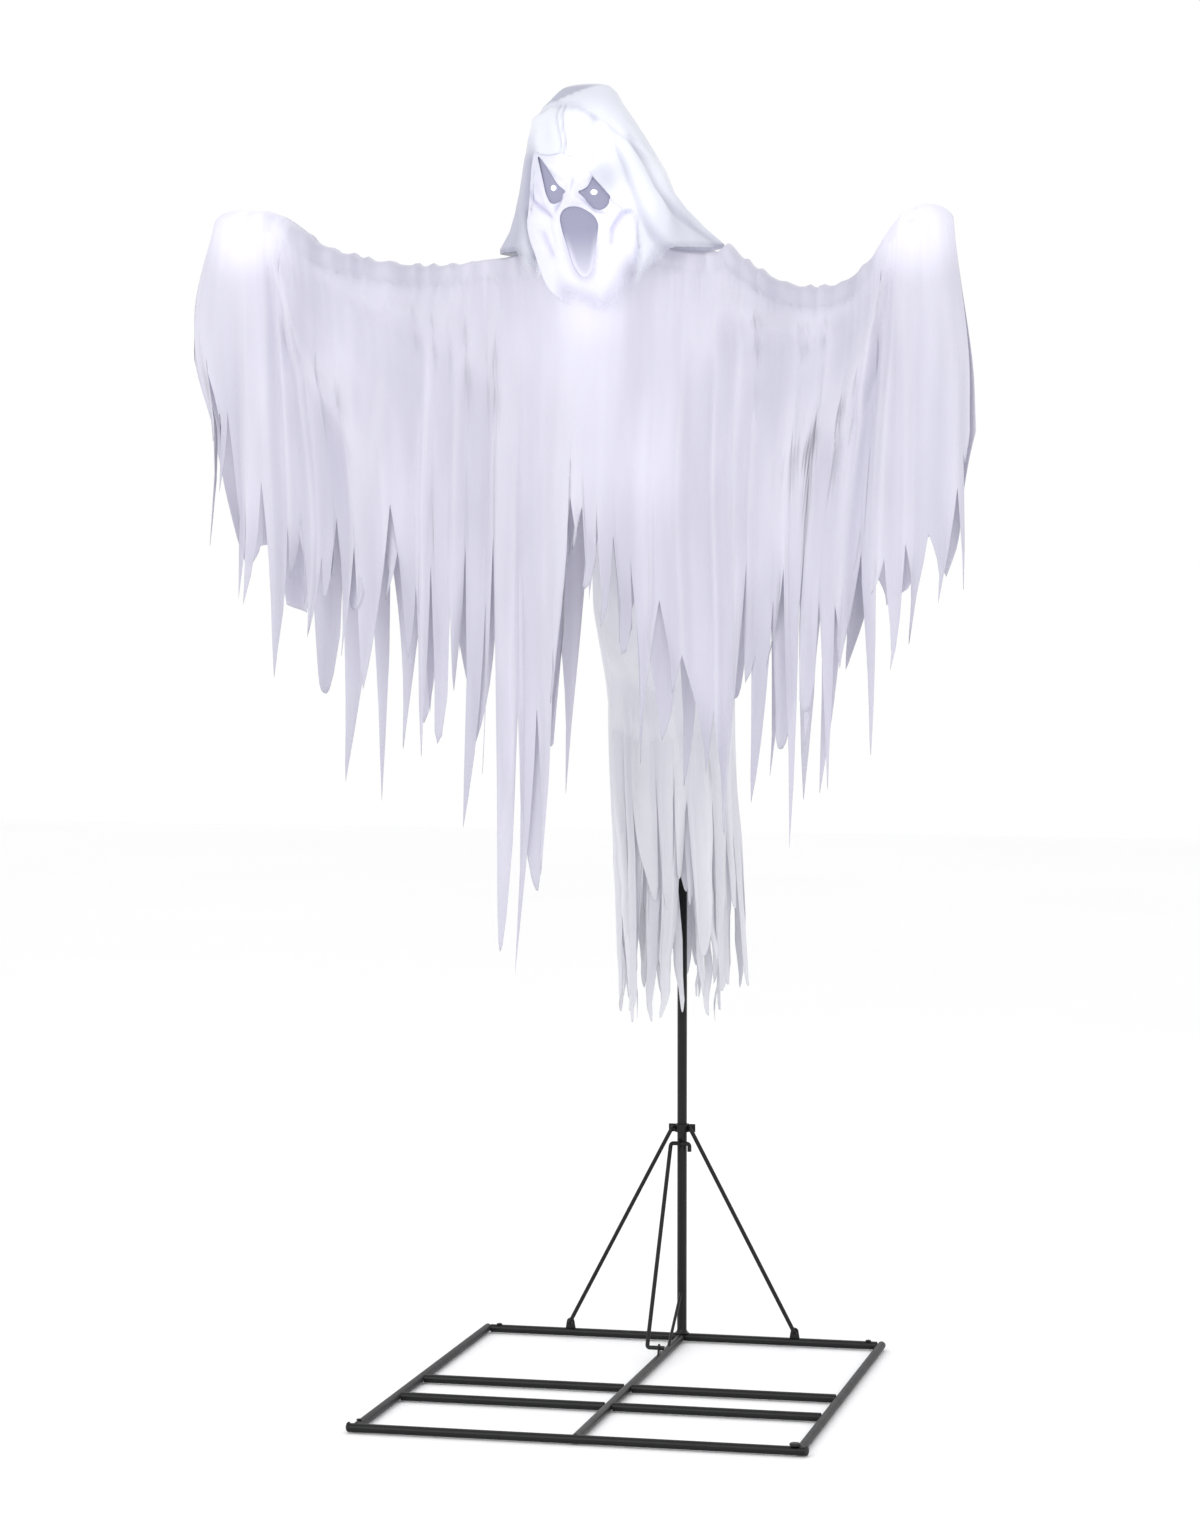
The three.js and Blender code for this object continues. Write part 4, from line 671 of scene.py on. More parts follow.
# the sheets are gathered on the arms; each was cut wider than the arms are long, then slit into strips
robeSheets = {
    "robeFront": {"hem": frontHem, "facing": 1, "chest": 92, "spread": 106, "lift": 2, "seed": 11,
                  "covers": ("robe_front", "sleeve_left", "sleeve_right"), "flat": (1.86, 1.35), "area": 1.3},
    "robeLining": {"hem": liningHem, "facing": 1, "chest": 78, "spread": 100, "lift": -12, "seed": 23,
                   "covers": ("robe_front",), "flat": (1.25, 1.2), "area": 0.93},
    "robeBack": {"hem": backHem(), "facing": -1, "chest": 118, "spread": 110, "lift": 2, "seed": 37,
                 "covers": ("robe_back", "sleeve_left", "sleeve_right"), "flat": (1.86, 1.05), "area": 1.23},
}
for name, cut in robeSheets.items():
    sheet = robeSheet(name, cut)
    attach(sheet, "figure")
    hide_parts(*cut["covers"])
    print(sheet.name, "area", round(halfArea(sheet), 3))
print("robe hung")

# outlines cut into sheets


def smoothOutline(corners, steps=6):
    # a closed curve through the corners, rounded
    pts = np.array(corners, float)
    n = len(pts)
    out = []
    for i in range(n):
        a, b, c, d = pts[i - 1], pts[i], pts[(i + 1) % n], pts[(i + 2) % n]
        for k in range(steps):
            t = k / steps
            out.append(0.5 * (2 * b + (c - a) * t + (2 * a - 5 * b + 4 * c - d) * t * t
                              + (3 * b - a - 3 * c + d) * t ** 3))
    return np.array(out)


def outlineDistance(x, z, outline):
    # distance to the outline, negative inside it, and the nearest point on it
    p = np.stack([x, z], axis=-1)[..., None, :]
    a = outline
    b = np.roll(outline, -1, axis=0)
    along = b - a
    share = np.clip(((p - a) * along).sum(-1) / (along ** 2).sum(-1), 0, 1)
    nearest = a + share[..., None] * along
    gap = np.linalg.norm(p - nearest, axis=-1)
    best = gap.argmin(axis=-1)
    distance = np.take_along_axis(gap, best[..., None], axis=-1)[..., 0]
    point = np.take_along_axis(nearest, best[..., None, None].repeat(2, axis=-1), axis=-2)[..., 0, :]
    px, pz = x[..., None], z[..., None]
    crosses = ((a[:, 1] > pz) != (b[:, 1] > pz)) & (
        px < a[:, 0] + (pz - a[:, 1]) * along[:, 0] / np.where(along[:, 1] == 0, 1e-9, along[:, 1]))
    inside = crosses.sum(axis=-1) % 2 == 1
    return np.where(inside, -distance, distance), point


def openedGrid(name, points, holes, material, keepInside=None, wrap=False, thickness=0.9, frontOnly=None,
               shade=None, tone=None):
    # a sheet with clean edged openings: faces inside a hole go, and its rim moves onto the outline
    rows, columns = points.shape[:2]
    front = np.ones((rows, columns), bool) if frontOnly is None else points[..., 1] > frontOnly
    gone = np.zeros((rows, columns), bool)
    edges = [(outline, 1) for outline in holes] + ([(keepInside, -1)] if keepInside is not None else [])
    fields = []
    for outline, sign in edges:
        distance, nearest = outlineDistance(points[..., 0], points[..., 2], outline)
        gone |= front & (sign * distance < 0)
        fields.append((sign * distance, nearest))
    faces = [quad for quad in gridFaces(rows, columns, wrap) if sum(gone[k] for k in quad) < 3]
    used = {}
    kept = np.zeros((rows, columns), int)
    for quad in faces:
        for k in quad:
            used.setdefault(k, len(used))
            kept[k] += 1
    placed = points.copy()
    for r, c in used:
        for distance, nearest in fields:
            rim = gone[r, c] or (kept[r, c] < 4 and 0 < r < rows - 1 and abs(distance[r, c]) < 5)
            if rim and front[r, c] and abs(distance[r, c]) == min(abs(f[0][r, c]) for f in fields):
                placed[r, c, 0], placed[r, c, 2] = nearest[r, c]
    corners = np.array([placed[k] for k in used])
    depth = np.zeros(len(used)) if shade is None else np.array([shade[k] for k in used])
    more, sheer = (0, None) if tone is None else tone(corners)
    return thickSheet(name, corners, [[used[k] for k in quad] for quad in faces], material, thickness, 0.02,
                      depth + more, sheer)


# face: a moulded mask over the head form, with meshed eyes and mouth

headProfile = ((2062, 104), (2160, 104), (2240, 101), (2310, 94), (2350, 80), (2386, 54), (2404, 24))


def headRadius(z):
    return np.interp(z, [p[0] for p in headProfile], [p[1] for p in headProfile]) / math.cos(math.pi / 24)


faceSettings = {
    "heights": (1996, 2340),
    "degrees": (-66, 72),
    "width": 232,
    "lift": 5.2,  # from the head form out to the mask
    "flat": 20,  # how far the cheeks stand out to make the front flatter than the form
    "eyes": (
        [(-80, 2311), (-74, 2290), (-66, 2264), (-60, 2244), (-54, 2231), (-48, 2223), (-39, 2221),
         (-30, 2225), (-25, 2231), (-22, 2237), (-16, 2241), (-23, 2247), (-35, 2257), (-46, 2272),
         (-58, 2289), (-68, 2301)],
        [(8, 2240), (15, 2244), (24, 2252), (33, 2270), (48, 2288), (74, 2306), (72, 2280), (69, 2254),
         (64, 2230), (60, 2216), (50, 2208), (39, 2208), (31, 2213), (25, 2220), (18, 2230)],
    ),
    "mouth": [(-1, 2215), (-14, 2213), (-24, 2207), (-29, 2196), (-26, 2179), (-20, 2160), (-13, 2140),
              (-6, 2118), (2, 2100), (12, 2088), (24, 2086), (33, 2098), (37, 2118), (40, 2142), (43, 2168),
              (43, 2183), (36, 2196), (25, 2205), (12, 2212)],
    "panel": [(-82, 2331), (-93, 2300), (-95, 2267), (-96, 2222), (-98, 2190), (-92, 2160), (-80, 2130),
              (-69, 2100), (-52, 2068), (-26, 2045), (2, 2032), (25, 2020), (48, 2013), (68, 2018),
              (90, 2041), (103, 2066), (109, 2098), (110, 2138), (107, 2208), (98, 2270), (78, 2320),
              (40, 2340), (0, 2344), (-40, 2341)],
    "pupils": ((-44, 2250, 5.6, 4.7), (34.5, 2240, 5.4, 4.2)),
    "creases": (  # a line across the face, then its half width and depth
        (((-3, 2272), (-2, 2258), (-4, 2246)), 2.6, 3.0),
        (((-80, 2256), (-73, 2230), (-56, 2210), (-36, 2190)), 3.4, 3.6),
        (((-14, 2237), (-26, 2228), (-35, 2213), (-38, 2200)), 3.0, 3.2),
        (((8, 2236), (19, 2222), (36, 2206), (56, 2200)), 3.0, 3.0),
        (((86, 2218), (71, 2199), (61, 2174), (57, 2136)), 4.6, 3.0),
        (((-64, 2306), (-50, 2284), (-32, 2262)), 2.4, 1.6),
        (((40, 2282), (28, 2266), (20, 2252)), 2.4, 1.6),
        (((-58, 2180), (-50, 2150), (-36, 2116)), 5.0, 2.4),
    ),
}


def lineDistance(x, z, line):
    best = np.full(np.shape(x), 1e9)
    for (xa, za), (xb, zb) in zip(line[:-1], line[1:]):
        along = (xb - xa) ** 2 + (zb - za) ** 2
        share = np.clip(((x - xa) * (xb - xa) + (z - za) * (zb - za)) / along, 0, 1)
        best = np.minimum(best, np.hypot(x - xa - share * (xb - xa), z - za - share * (zb - za)))
    return best


def faceCreases(x, z):
    total = np.zeros(np.broadcast(x, z).shape)
    for line, width, depth in faceSettings["creases"]:
        toEnd = np.minimum(*(np.hypot(x - endX, z - endZ) for endX, endZ in (line[0], line[-1])))
        crease = depth * np.exp(-((lineDistance(x, z, line) / width) ** 2))
        total = np.maximum(total, crease * (0.1 + 0.9 * ease(toEnd, 0, 16)))
    return total


def faceFeatures(x, z):
    def bump(cx, cz, wx, wz, lean=0.0):
        u = x - cx - lean * (z - cz)
        return np.exp(-((u / wx) ** 2) - ((z - cz) / wz) ** 2)

    nose = 12 * bump(-1, 2236, 11, 16) + 5 * bump(-3, 2258, 8, 14) - 5 * bump(-4, 2251, 2.2, 8)
    snarl = sum(5 * bump(s * 17, 2234, 4.5, 13, -s * 0.5) - 4 * bump(s * 24, 2225, 3.6, 12, -s * 0.6)
                for s in (-1, 1))
    brows = sum(9 * bump(s * 29, 2278, 11, 17, s * 0.9) for s in (-1, 1)) + 4 * bump(0, 2302, 34, 20)
    cheeks = 7 * bump(-68, 2184, 15, 32) + 9 * bump(78, 2168, 18, 34) - 4 * bump(-46, 2184, 6, 30, -0.3)
    folds = -6 * bump(63, 2180, 5, 26, 0.42)
    folds = folds - 4 * bump(-63, 2234, 3.4, 22, -0.3) - 3 * bump(-50, 2211, 4, 12, -0.8)
    lips = 5 * bump(-31, 2160, 8, 46, -0.28) + 6 * bump(52, 2148, 9, 46) + 5 * bump(10, 2224, 24, 7)
    chin = 5 * bump(20, 2060, 34, 16)
    flat = faceSettings["flat"] * ease(np.abs(x), 30, 96)
    return nose + snarl + brows + cheeks + folds + lips + chin + flat - faceCreases(x, z)


def facePoints(step, lift, recess=0.0):
    # points on the face, so far apart; the screens follow its relief with a little recess
    low, high = faceSettings["heights"]
    left, right = faceSettings["degrees"]
    rows = int((high - low) / step)
    columns = int(faceSettings["width"] / step)
    z = np.linspace(high, low, rows)[:, None] * np.ones(columns)
    angle = np.radians(np.linspace(left, right, columns))[None, :] * np.ones((rows, 1))
    form = headRadius(z)
    x = form * np.sin(angle)
    radius = form + lift + faceFeatures(x, z) * (1 - recess)
    return np.stack([radius * np.sin(angle), figureReach + radius * np.cos(angle), z], axis=-1)


eyeLeft, eyeRight = (smoothOutline(outline) for outline in faceSettings["eyes"])
mouth = smoothOutline(faceSettings["mouth"])
panelOutline = smoothOutline(faceSettings["panel"])


def faceTone(points):
    # painted shade in the creases and round the mouth, darker towards the panel's foot; the panel also thins
    # out towards its foot
    radius = np.hypot(points[..., 0], points[..., 1] - figureReach)
    x, z = headRadius(points[..., 2]) * points[..., 0] / radius, points[..., 2]
    toMouth, _ = outlineDistance(points[..., 0], z, mouth)
    mouthShade = 0.42 * np.exp(-((toMouth / 9) ** 2)) * ease(2190 - z, 0, 60)
    shade = 0.19 * faceCreases(x, z) + mouthShade + 0.10 * ease(2075 - z, 0, 50)
    toRim, _ = outlineDistance(points[..., 0], z, panelOutline)
    sheer = (1 - ease(np.abs(toRim), 8, 46)) * ease(2150 - z, 0, 60) * ease(points[..., 0], -44, -4)
    return shade, sheer


faceMask = openedGrid("faceMask", facePoints(2.0, faceSettings["lift"]), [eyeLeft, eyeRight, mouth],
                      materials["softVinyl"], keepInside=panelOutline, thickness=1.6, tone=faceTone)


def grown(outline, by):
    middle = outline.mean(axis=0)
    away = outline - middle
    return middle + away * (1 + by / np.linalg.norm(away, axis=1)[:, None])


def mouthTone(points):
    # the vinyl's light spills over the lower edges of the mouth's mesh
    inside, _ = outlineDistance(points[:, 0], points[:, 2], mouth)
    return 0.85 * (1 - ease(-inside, 0, 11)) * ease(2180 - points[:, 2], 0, 70), None


screens = []
for name, outline, node, tone in (("eyeScreenLeft", eyeLeft, "eye_screen_left", None),
                                  ("mouthScreen", mouth, "mouth_screen", mouthTone),
                                  ("eyeScreenRight", eyeRight, "eye_screen_right", None)):
    screen = openedGrid(name, facePoints(2.6, faceSettings["lift"] - 2.2, 0.12), [], materials["screenVoile"],
                        keepInside=grown(outline, 2.5), thickness=0.8, tone=tone)
    screens.append((screen, node))


def pupil(name, x, z, halfWide, halfTall):
    # a small frosted window, domed 1.5 mm out of the eye's mesh
    form = float(headRadius(np.array(z)))
    flush = form + faceSettings["lift"] - 1.6
    base = flush
    for _ in range(3):  # where the line of the window's x meets the face
        across = form * x / base
        base = flush + 0.88 * float(faceFeatures(np.array(across), np.array(float(z))))
    rings, segments = 7, 40
    points = np.zeros((rings, segments, 3))
    for r in range(rings):
        share = r / (rings - 1)
        for c in range(segments):
            turn = 2 * math.pi * c / segments
            px, pz = x + halfWide * share * math.cos(turn), z + halfTall * share * math.sin(turn)
            radius = base + 1.5 * (1 - share ** 2)
            angle = math.asin(px / base)
            points[r, c] = (radius * math.sin(angle), figureReach + radius * math.cos(angle), pz)
    return gridMesh(name, points, materials["frostedLens"], wrap=True, thickness=0.8, weld=0.05)


for name, window in zip(("pupilLeft", "pupilRight"), faceSettings["pupils"]):
    lens = pupil(name, *window)
    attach(lens, "head")
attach(faceMask, "head")
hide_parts("face_mask")
for screen, node in screens:
    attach(screen, "head")
    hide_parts(node)
print("face shaped")

# hood: cloth over the head form, drawn in round the face and open to the shoulders

hoodSettings = {
    "stations": [  # height, then how far it stands out to the left, right, front and back
        (2447, 0, 0, 0, 0), (2446, 34, 26, 24, 28), (2441, 54, 36, 38, 44), (2431, 66, 45, 50, 62),
        (2414, 82, 53, 66, 82), (2386, 112, 73, 92, 105), (2350, 123, 97, 112, 122),
        (2290, 131, 135, 124, 135), (2250, 136, 151, 127, 143), (2212, 144, 180, 129, 152),
        (2180, 154, 210, 128, 160), (2148, 174, 250, 124, 172),
    ],
    "fullness": 1.52,
    "opening": [(-86, 2316), (-74, 2314), (-58, 2311), (-40, 2312), (-29, 2313), (-14, 2307), (0, 2303),
                (13, 2297), (22, 2289), (28, 2279), (34, 2267), (48, 2251), (64, 2233), (70, 2222),
                (84, 2211), (97, 2188), (101, 2148), (100, 2103), (93, 2062), (80, 2026), (72, 1960),
                (-40, 1960), (-50, 2080), (-70, 2124), (-86, 2188), (-88, 2258)],
    # degrees round the head from straight ahead, first over the right, and height
    "hem": ((0, 2112), (20, 2090), (32, 2040), (43, 2040), (54, 2066), (62, 2108), (69, 2141), (106, 2141),
            (135, 2080), (180, 2066), (225, 2086), (240, 2130), (250, 2140), (297, 2140), (303, 2106),
            (316, 2080), (326, 2092), (340, 2112), (360, 2112)),
    # where the crown's upper fold laps over the band, from left to right
    "seam": ((-80, -62, -3, 50, 95, 130), (2402, 2410, 2405, 2375, 2336, 2300)),
    "valley": ((2060, 2110, 2160, 2215, 2311), (42, 45, 50, 54, 55)),  # heights, degrees to the left there
    # across the forehead's band: place, width and depth
    "pleats": ((-30, 3.4, -4.6), (-24, 4.0, 2.4), (-42, 3.4, -3.6), (-35, 4.0, 2.4), (30, 9.0, -3.2),
               (48, 12, 2.2), (-58, 10, 1.6)),
    # round the right side, in radians: place, width and depth
    "drapes": ((0.0, 0.09, 6.5), (0.17, 0.07, -6.0), (0.36, 0.10, 5.5), (0.54, 0.07, -5.5),
               (0.70, 0.08, 4.5)),
    "columns": 190,
    "crownStations": 4,  # the steps of the flat crown, which get rows of their own
    "crownRows": 12,
    "rows": 70,
    "hemRows": 41,
    "flat": (0.95, 0.48),
    "area": 0.27,
}


def hoodForm(angle):
    # the cloth hanging freely from the crown: across, forward, height, and how deep its folds sag, for their
    # painted shade
    settings = hoodSettings
    stations = np.array(settings["stations"], float)
    crown = settings["crownStations"]
    last = len(stations) - 1
    hem = np.interp(np.degrees(angle), *np.array(settings["hem"], float).T) + 2 * wobble(3 * angle, 3)
    steps = np.concatenate([np.linspace(0, crown, settings["crownRows"], endpoint=False),
                            np.linspace(crown, last, settings["rows"])])
    lines = [np.interp(steps, range(last + 1), stations[:, k]) for k in range(5)]
    for line in lines:  # soften the stations' corners
        line[1:-1] = 0.25 * line[:-2] + 0.5 * line[1:-1] + 0.25 * line[2:]
    z = np.repeat(lines[0][:, None], len(angle), axis=1)
    extra = np.linspace(0, 1, settings["hemRows"] + 1)[1:, None]
    z = np.concatenate([z, z[-1:] + (hem[None, :] - z[-1:]) * extra])
    wide = [np.concatenate([line, np.full(settings["hemRows"], line[-1])])[:, None] for line in lines[1:]]
    sideways = np.where(np.sin(angle) > 0, wide[1], wide[0])
    along = np.where(np.cos(angle) > 0, wide[2], wide[3])
    fromFront = np.minimum(np.degrees(angle), 360 - np.degrees(angle))
    low = ease(2400 - z, 0, 260)
    swell = foldWave(9 * angle + 1.2 * wobble(angle * 1.5 + z / 150, 9)) * ease(fromFront, 40, 80) * low
    fine = foldWave(23 * angle + 2 * wobble(angle * 3, 12)) * ease(fromFront, 30, 80) * low
    scale = 1 + 0.035 * swell + 0.010 * fine
    x = sideways * scale * np.sin(angle)
    out = along * scale * np.cos(angle)
    # lower down it closes in on the chest and the back, and runs out to the shoulders
    power = settings["fullness"]
    shoulder = (np.abs(np.sin(angle)) / np.maximum(sideways, 1)) ** power
    shoulder = (shoulder + (np.abs(np.cos(angle)) / np.maximum(along, 1)) ** power) ** (-1 / power)
    close = ease(2240 - z, 0, 90)
    x = x + (shoulder * scale * np.sin(angle) - x) * close
    out = out + (shoulder * scale * np.cos(angle) - out) * close
    return x, out, z, np.clip(-swell - 0.6 * fine, 0, 1) * low


def ridges(across, lines):
    # a sum of rounded ridges, or grooves where the depth is negative
    return sum(depth * np.exp(-(((across - at) / width) ** 2)) for at, width, depth in lines)


def hoodGrid():
    settings = hoodSettings
    angle = np.linspace(0, 2 * math.pi, settings["columns"], endpoint=False)
    x, out, z, sagShade = hoodForm(angle)
    # the band on the forehead and the cloth round the face lie on the mask
    distance, _ = outlineDistance(x, z, smoothOutline(settings["opening"], 3))
    front = np.cos(angle)[None, :] * np.ones_like(z)
    cling = (1 - ease(distance, 4, 70)) * ease(front, -0.05, 0.3) * ease(2425 - z, 0, 50)
    form = headRadius(z)
    held = np.hypot(x, out)
    turn = np.arctan2(x, out)
    toSide = np.degrees(turn)
    lie = form + faceSettings["lift"] + 2.4 + faceFeatures(form * np.sin(turn), z)
    radius = held + (lie - held) * cling
    # on the left a deep valley runs down beside the mask
    valley = np.exp(-(((toSide + np.interp(z, *settings["valley"])) / 5.5) ** 2))
    valley = valley * (1 - ease(z, 2300, 2340))
    radius = radius - 9 * valley * ease(radius - form, 8, 22)
    # the crown's upper fold laps over the band by one thickness, down to the right
    seam = np.interp(x, *settings["seam"])
    lap = 5.0 * ease(z - seam, -1.5, 3.5) * ease(front, 0, 0.4)
    # on top it folds over once more, along a line from the left up to the crown
    flap = ease((-44 + (z - 2414) * 2.4) - x, -6, 7) * ease(z - seam, 0, 5) * ease(front, -0.3, 0.1)
    tuck = -3.5 * np.exp(-(((z - seam + 7) / 7) ** 2)) * ease(front, 0, 0.4)
    pleats = ridges(x - 0.08 * (2400 - z), settings["pleats"])
    pleats = pleats * ease(z, 2285, 2310) * (1 - ease(z - seam, -12, 2)) * ease(front, 0, 0.5)
    # long folds run from the crown down the right side to the shoulder
    drapes = ridges(turn - 0.35 - 0.0024 * (2400 - z), settings["drapes"])
    drapes = drapes * ease(2380 - z, 0, 90) * ease(front, -0.3, 0.2)
    radius = radius + lap + tuck + pleats + drapes * (1 - cling * 0.6) - 4 * flap
    points = np.stack([radius * np.sin(turn), figureReach + radius * np.cos(turn), z], axis=-1)
    # painted shade: darker in the valleys, under the folds and round the sides
    lines = 0.08 * np.clip(-pleats - tuck - 0.7 * drapes, 0, 6) + 0.12 * sagShade
    rightSideShade = ease(toSide, 30, 80) * (1 - ease(toSide, 105, 165)) * ease(2290 - z, 0, 130)
    leftSideShade = ease(-toSide, 50, 64) * (1 - ease(-toSide, 80, 150)) * (1 - ease(z, 2300, 2380))
    # the cloth turns under beside the right eye, along a slanting fold, with painted shade below it
    under = (points[..., 0] - 34) * 0.7 - (z - 2284) * 0.7
    brow = np.exp(-(((points[..., 0] - 60) / 27) ** 2) - ((z - 2268) / 34) ** 2) * ease(front, 0, 0.3)
    # painted shade in the left valley, on the top fold's facet and just above the seam
    shade = lines + 0.4 * brow * ease(under, 0, 3) + 0.62 * valley + 0.6 * flap * ease(2447 - z, 0, 9)
    shade = shade + 0.36 * rightSideShade + 0.6 * leftSideShade + 0.12 * ease(z - seam, -1, 3)
    return points, shade


def hoodTone(points):
    # one layer of the cloth is thin along the hem and where it lies on the mask's cheeks
    x, forward, z = points[:, 0], points[:, 1] - figureReach, points[:, 2]
    degrees = np.degrees(np.arctan2(x, forward)) % 360
    toHem = z - np.interp(degrees, *np.array(hoodSettings["hem"], float).T)
    toOpening, _ = outlineDistance(x, z, hoodOpening)
    soften = (1 - ease(np.abs(toOpening), 6, 26)) * ease(2226 - z, 0, 24) * (forward > 20)
    front = ease(degrees, 30, 45) * (1 - ease(degrees, 60, 70))
    front = front + ease(degrees, 296, 304) * (1 - ease(degrees, 316, 330))
    hem = (0.4 + 0.6 * front) * (1 - ease(toHem, 2, 12 + 40 * front))
    return 0, np.maximum(hem, soften)


hoodOpening = smoothOutline(hoodSettings["opening"])
hoodPoints, hoodShade = hoodGrid()
hood = openedGrid("hood", hoodPoints, [hoodOpening], materials["hoodVoile"], wrap=True,
                  frontOnly=figureReach + 20, shade=hoodShade, tone=hoodTone)
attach(hood, "head")
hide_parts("hood")
print("hood area", round(halfArea(hood), 3))

# casings: a channel of cloth gathered on each arm, inside the robe

casingSettings = {"start": 170, "end": 505, "radius": 13.5, "ruffle": 1.6, "pitch": 21, "flat": (0.34, 0.09)}


def armCasing(side):
    settings = casingSettings
    distance = np.linspace(settings["start"], settings["end"], 150)
    forward, height = armLine(side * distance)
    columns = 40
    angle = np.linspace(0, 2 * math.pi, columns, endpoint=False)
    phase = 2 * math.pi * distance / settings["pitch"] + 3.2 * wobble(distance / 45, 40 + side)
    ruffle = settings["ruffle"] * foldWave(phase)[:, None]
    up = np.sin(angle)[None, :]
    radius = settings["radius"] + ruffle * (0.45 + 0.55 * np.abs(up)) + 0.8 * wobble(angle * 5, 61)[None, :]
    x = np.repeat(side * distance[:, None], columns, axis=1)
    points = np.stack([x, forward[:, None] + radius * np.cos(angle)[None, :], height[:, None] + radius * up],
                      axis=-1)
    return gridMesh("casingLeft" if side < 0 else "casingRight", points, materials["casingVoile"], wrap=True)


for side, node, rod in ((-1, "arm_casing_left", "arm_rod_left"), (1, "arm_casing_right", "arm_rod_right")):
    casing = armCasing(side)
    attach(casing, "figure")
    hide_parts(node)
    print(casing.name, "area", round(halfArea(casing), 3))

# tail: cloth drawn in on the gooseneck, hanging round the pole in long strips

tailSettings = {
    "stations": [  # back and front in forward and height, then half the width
        (432, 1706, 428, 1678, 15), (392, 1684, 414, 1604, 50), (320, 1636, 362, 1496, 82),
        (240, 1584, 292, 1408, 102), (150, 1528, 214, 1330, 114), (12, 1462, 214, 1262, 119),
        (-50, 1370, 198, 1220, 121),
    ],
    "foot": (-60, 184, 121),
    "columns": 264,
    "rows": 70,
    "stripRows": 83,
    "strip": (0.2, 0.42),  # a strip's width, in radians round the tail
    "folds": 11,
    "creases": 27,
    "layers": {  # each layer's size beside the outer one, and the same behind, where it clears the housing
        "tailOuter": {"scale": 1.0, "rear": 1.0, "tips": (645, 800), "notches": (1060, 1240), "seed": 91,
                      "depth": 0.06, "flat": (0.86, 1.1), "area": 0.72},
        "tailMiddle": {"scale": 0.88, "rear": 0.96, "tips": (650, 790), "notches": (1000, 1180), "seed": 95,
                       "depth": 0.06, "flat": (0.84, 1.08), "area": 0.71},
        "tailInner": {"scale": 0.72, "rear": 0.93, "tips": (640, 780), "notches": (920, 1100), "seed": 99,
                      "depth": 0.07, "flat": (0.8, 1.06), "area": 0.66},
    },
}


def tailHem(angle, layer):
    # strips of uneven width round the tail; each keeps its width for most of its length, then tapers
    draw = np.random.RandomState(layer["seed"])
    tips, notches = layer["tips"], layer["notches"]
    hem, sway, lean = np.zeros((3, len(angle)))
    at = 0.0
    while at < 2 * math.pi - 0.12:
        width = min(draw.uniform(*tailSettings["strip"]), 2 * math.pi - at)
        tip = draw.uniform(*tips) if draw.uniform() < 0.7 else tips[1] + draw.uniform(40, 160)
        middle, power = draw.uniform(0.35, 0.65), draw.uniform(1.8, 3.0)
        here = (angle >= at) & (angle < at + width + 1e-6)
        share = (angle[here] - at) / width
        side = np.where(share < middle, 1 - share / middle, (share - middle) / (1 - middle))
        hem[here] = tip + (draw.uniform(*notches) - tip) * side ** power
        sway[here] = draw.uniform(-1, 1)
        lean[here] = draw.uniform(-1, 1)
        at += width
    return hem, sway, lean


def tailSkirt(name, layer):
    stations = np.array(tailSettings["stations"], float)
    columns = tailSettings["columns"]
    stripRows = tailSettings["stripRows"]
    seed = layer["seed"]
    last = len(stations) - 1
    angle = np.linspace(0, 2 * math.pi, columns, endpoint=False)
    steps = np.linspace(0, last, tailSettings["rows"])
    lines = [np.interp(steps, range(last + 1), stations[:, k])[:, None] for k in range(5)]
    for line in lines:  # soften the stations' corners
        for _ in range(6):
            line[1:-1] = 0.25 * line[:-2] + 0.5 * line[1:-1] + 0.25 * line[2:]
    backF, backZ, frontF, frontZ, half = lines
    hem, sway, lean = tailHem(angle, layer)
    # below the last station each column hangs straight to its own end
    t = np.linspace(0, 1, stripRows + 1)[1:, None]
    z = (backZ + frontZ) / 2 + np.cos(angle) * (backZ - frontZ) / 2
    z = np.concatenate([z, z[-1:] + (np.minimum(hem, z[-1] - 20) - z[-1:]) * t])
    more = ease(np.maximum(z[len(steps) - 1] - z, 0), 0, 260)[-stripRows:]

    def toFoot(line, foot):
        return np.concatenate([line * np.ones(columns), line[-1] + (foot - line[-1]) * more])

    footB, footF, footHalf = tailSettings["foot"]
    middleF = toFoot((backF + frontF) / 2, (footB + footF) / 2)
    reachF = toFoot((backF - frontF) / 2, (footB - footF) / 2)
    wide = toFoot(half, footHalf)
    flow = np.concatenate([steps, last + t[:, 0] * 5])[:, None]
    down = ease(flow, 1.2, last)
    wave = foldWave(tailSettings["folds"] * angle + 1.6 * wobble(angle * 1.2 + flow / 4, seed))
    crease = foldWave(tailSettings["creases"] * angle + 2 * wobble(angle * 4, seed + 1))
    # the inner layers are narrower, but behind they keep clear of the drive housing as the figure turns
    scale, rear = layer["scale"], layer["rear"]
    narrow = 1 - scale + (scale - rear) * ease(np.cos(angle), 0, 0.8)
    folds = (1 + layer["depth"] * down * wave + 0.025 * down * crease) * (1 - narrow * ease(flow, 0.4, 3))
    loose = np.maximum(layer["notches"][0] + 60 - z, 0)
    flutter = 5 * wobble(z / 60 + 9 * sway, seed + 3) * ease(loose, 0, 160)
    x = np.sin(angle) * wide * folds + 0.07 * sway * loose + flutter
    forward = middleF + np.cos(angle) * reachF * folds + 0.08 * lean * loose
    points = np.stack([x, forward, z], axis=-1)
    # painted shade in the valleys of the folds
    return gridMesh(name, points, materials["tailVoile"], wrap=True, thickness=0.8,
                    shade=np.clip(-wave, 0, 1) * 0.16 * down)


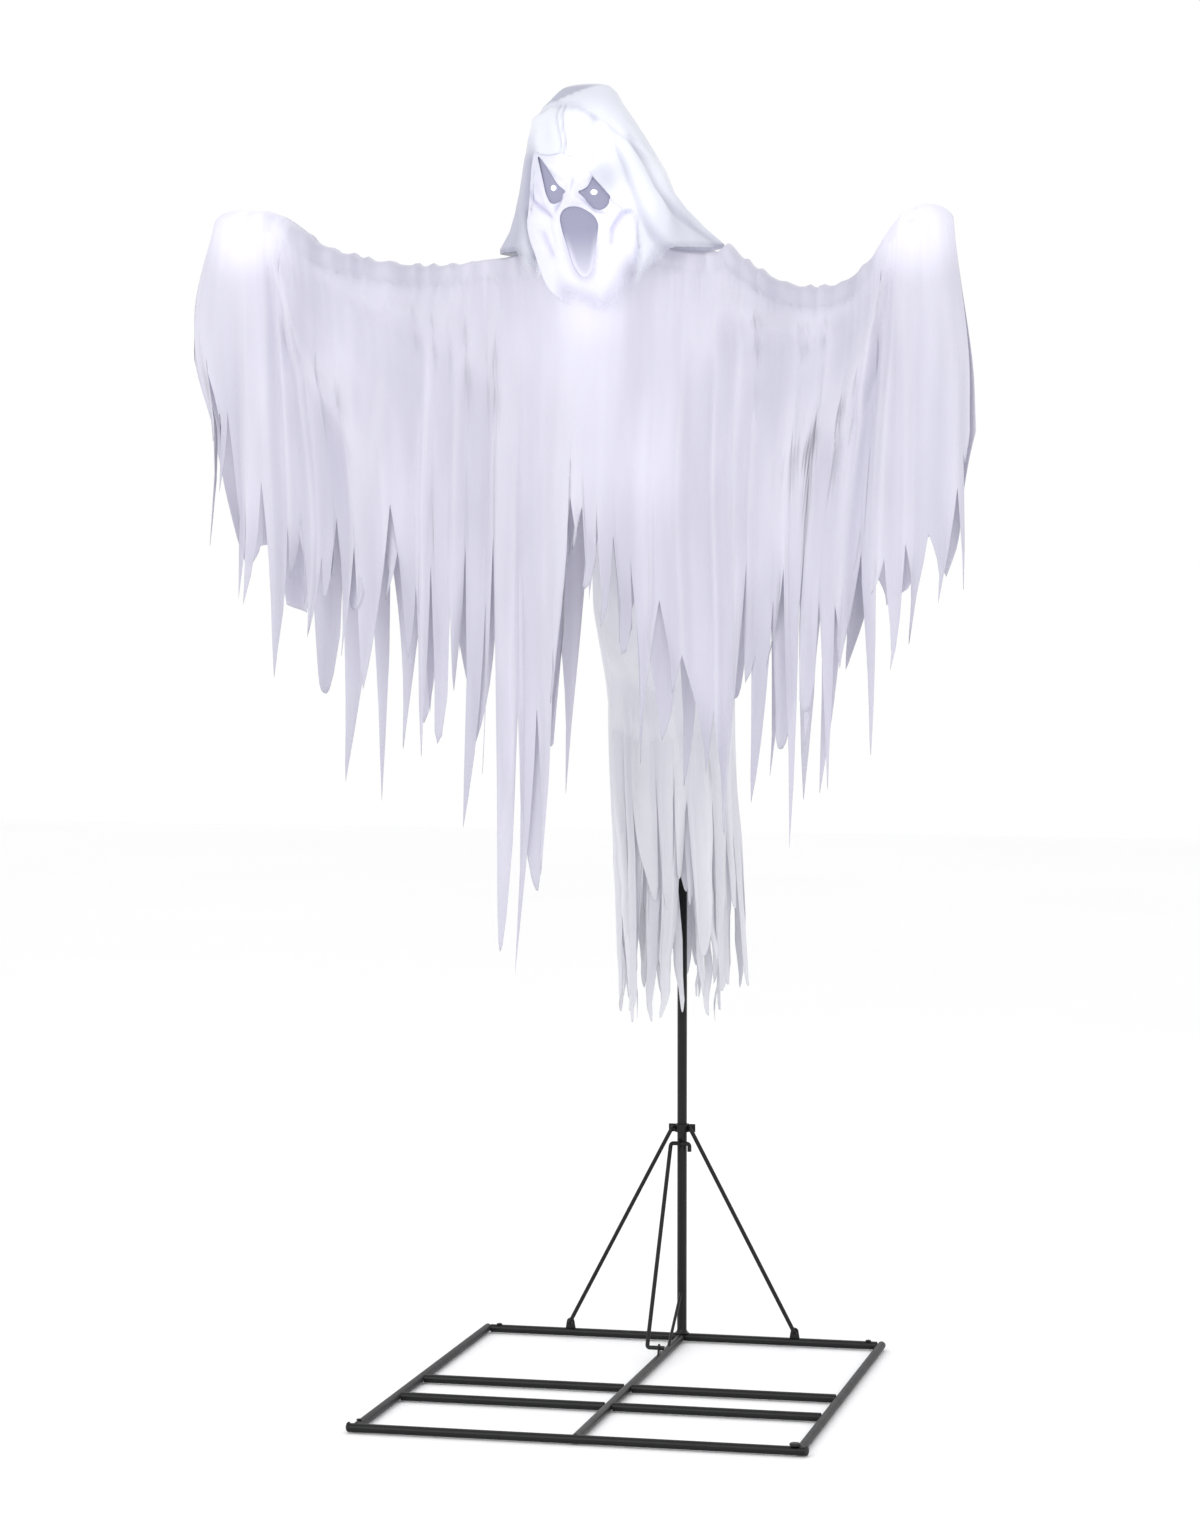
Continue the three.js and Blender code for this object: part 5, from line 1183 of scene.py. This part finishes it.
for name, layer in tailSettings["layers"].items():
    tail = tailSkirt(name, layer)
    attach(tail, "figure")
    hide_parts("tail_skirt")
    print(tail.name, "area", round(halfArea(tail), 3))
print("cloth ready")

# camera, at the photograph's angle

cameraSettings = {"eye": (1.5591, -7.4882, 1.5472), "look": (-0.2247, 0.9732, -0.0481), "lens": 90.62}
camera = bpy.data.objects.new("photoCamera", bpy.data.cameras.new("photoCamera"))
scene.collection.objects.link(camera)
camera.location = cameraSettings["eye"]
camera.rotation_euler = Vector(cameraSettings["look"]).to_track_quat("-Z", "Y").to_euler()
camera.data.lens = cameraSettings["lens"]
camera.data.sensor_width = 36
scene.camera = camera

# floor and light

stageSettings = {"floor": ("#fcfcfd", "#fefeff"), "size": 30, "under": 0.002, "world": "#ffffff",
                 "worldStrength": 1.0}
floorMesh = bpy.data.meshes.new("floor")
half, below = stageSettings["size"] / 2, -stageSettings["under"]
floorMesh.from_pydata([(x * half, y * half, below) for x, y in ((-1, -1), (1, -1), (1, 1), (-1, 1))], [],
                      [(0, 1, 2, 3)])
floor = bpy.data.objects.new("floor", floorMesh)
scene.collection.objects.link(floor)
floorFinish, floorTree, floorShader, floorCoords = newMaterial("paleFloor", Roughness=0.9)
speckle(floorTree, floorShader, floorCoords, *stageSettings["floor"], 2500)
floor.data.materials.append(floorFinish)

scene.view_settings.view_transform = "Standard"  # near white cloth keeps its faint lilac
world = bpy.data.worlds.new("paleRoom")
scene.world = world
world.use_nodes = True
world.node_tree.nodes["Background"].inputs["Color"].default_value = toLinear(stageSettings["world"])
world.node_tree.nodes["Background"].inputs["Strength"].default_value = stageSettings["worldStrength"]

lampSettings = {  # place and size in m, power in W
    "keySoftbox": ((-1.6, -5.6, 3.6), 2.4, 70),
    "fillSoftbox": ((4.2, -3.6, 2.8), 3.0, 18),
    "backSoftbox": ((0.5, 3.8, 3.6), 2.5, 20),
}
for name, (where, size, power) in lampSettings.items():
    light = bpy.data.lights.new(name, "AREA")
    light.size = size
    light.energy = power
    lamp = bpy.data.objects.new(name, light)
    lamp.location = where
    lamp.rotation_euler = (Vector((-0.05, -0.5, 1.3)) - Vector(where)).to_track_quat("-Z", "Y").to_euler()
    scene.collection.objects.link(lamp)
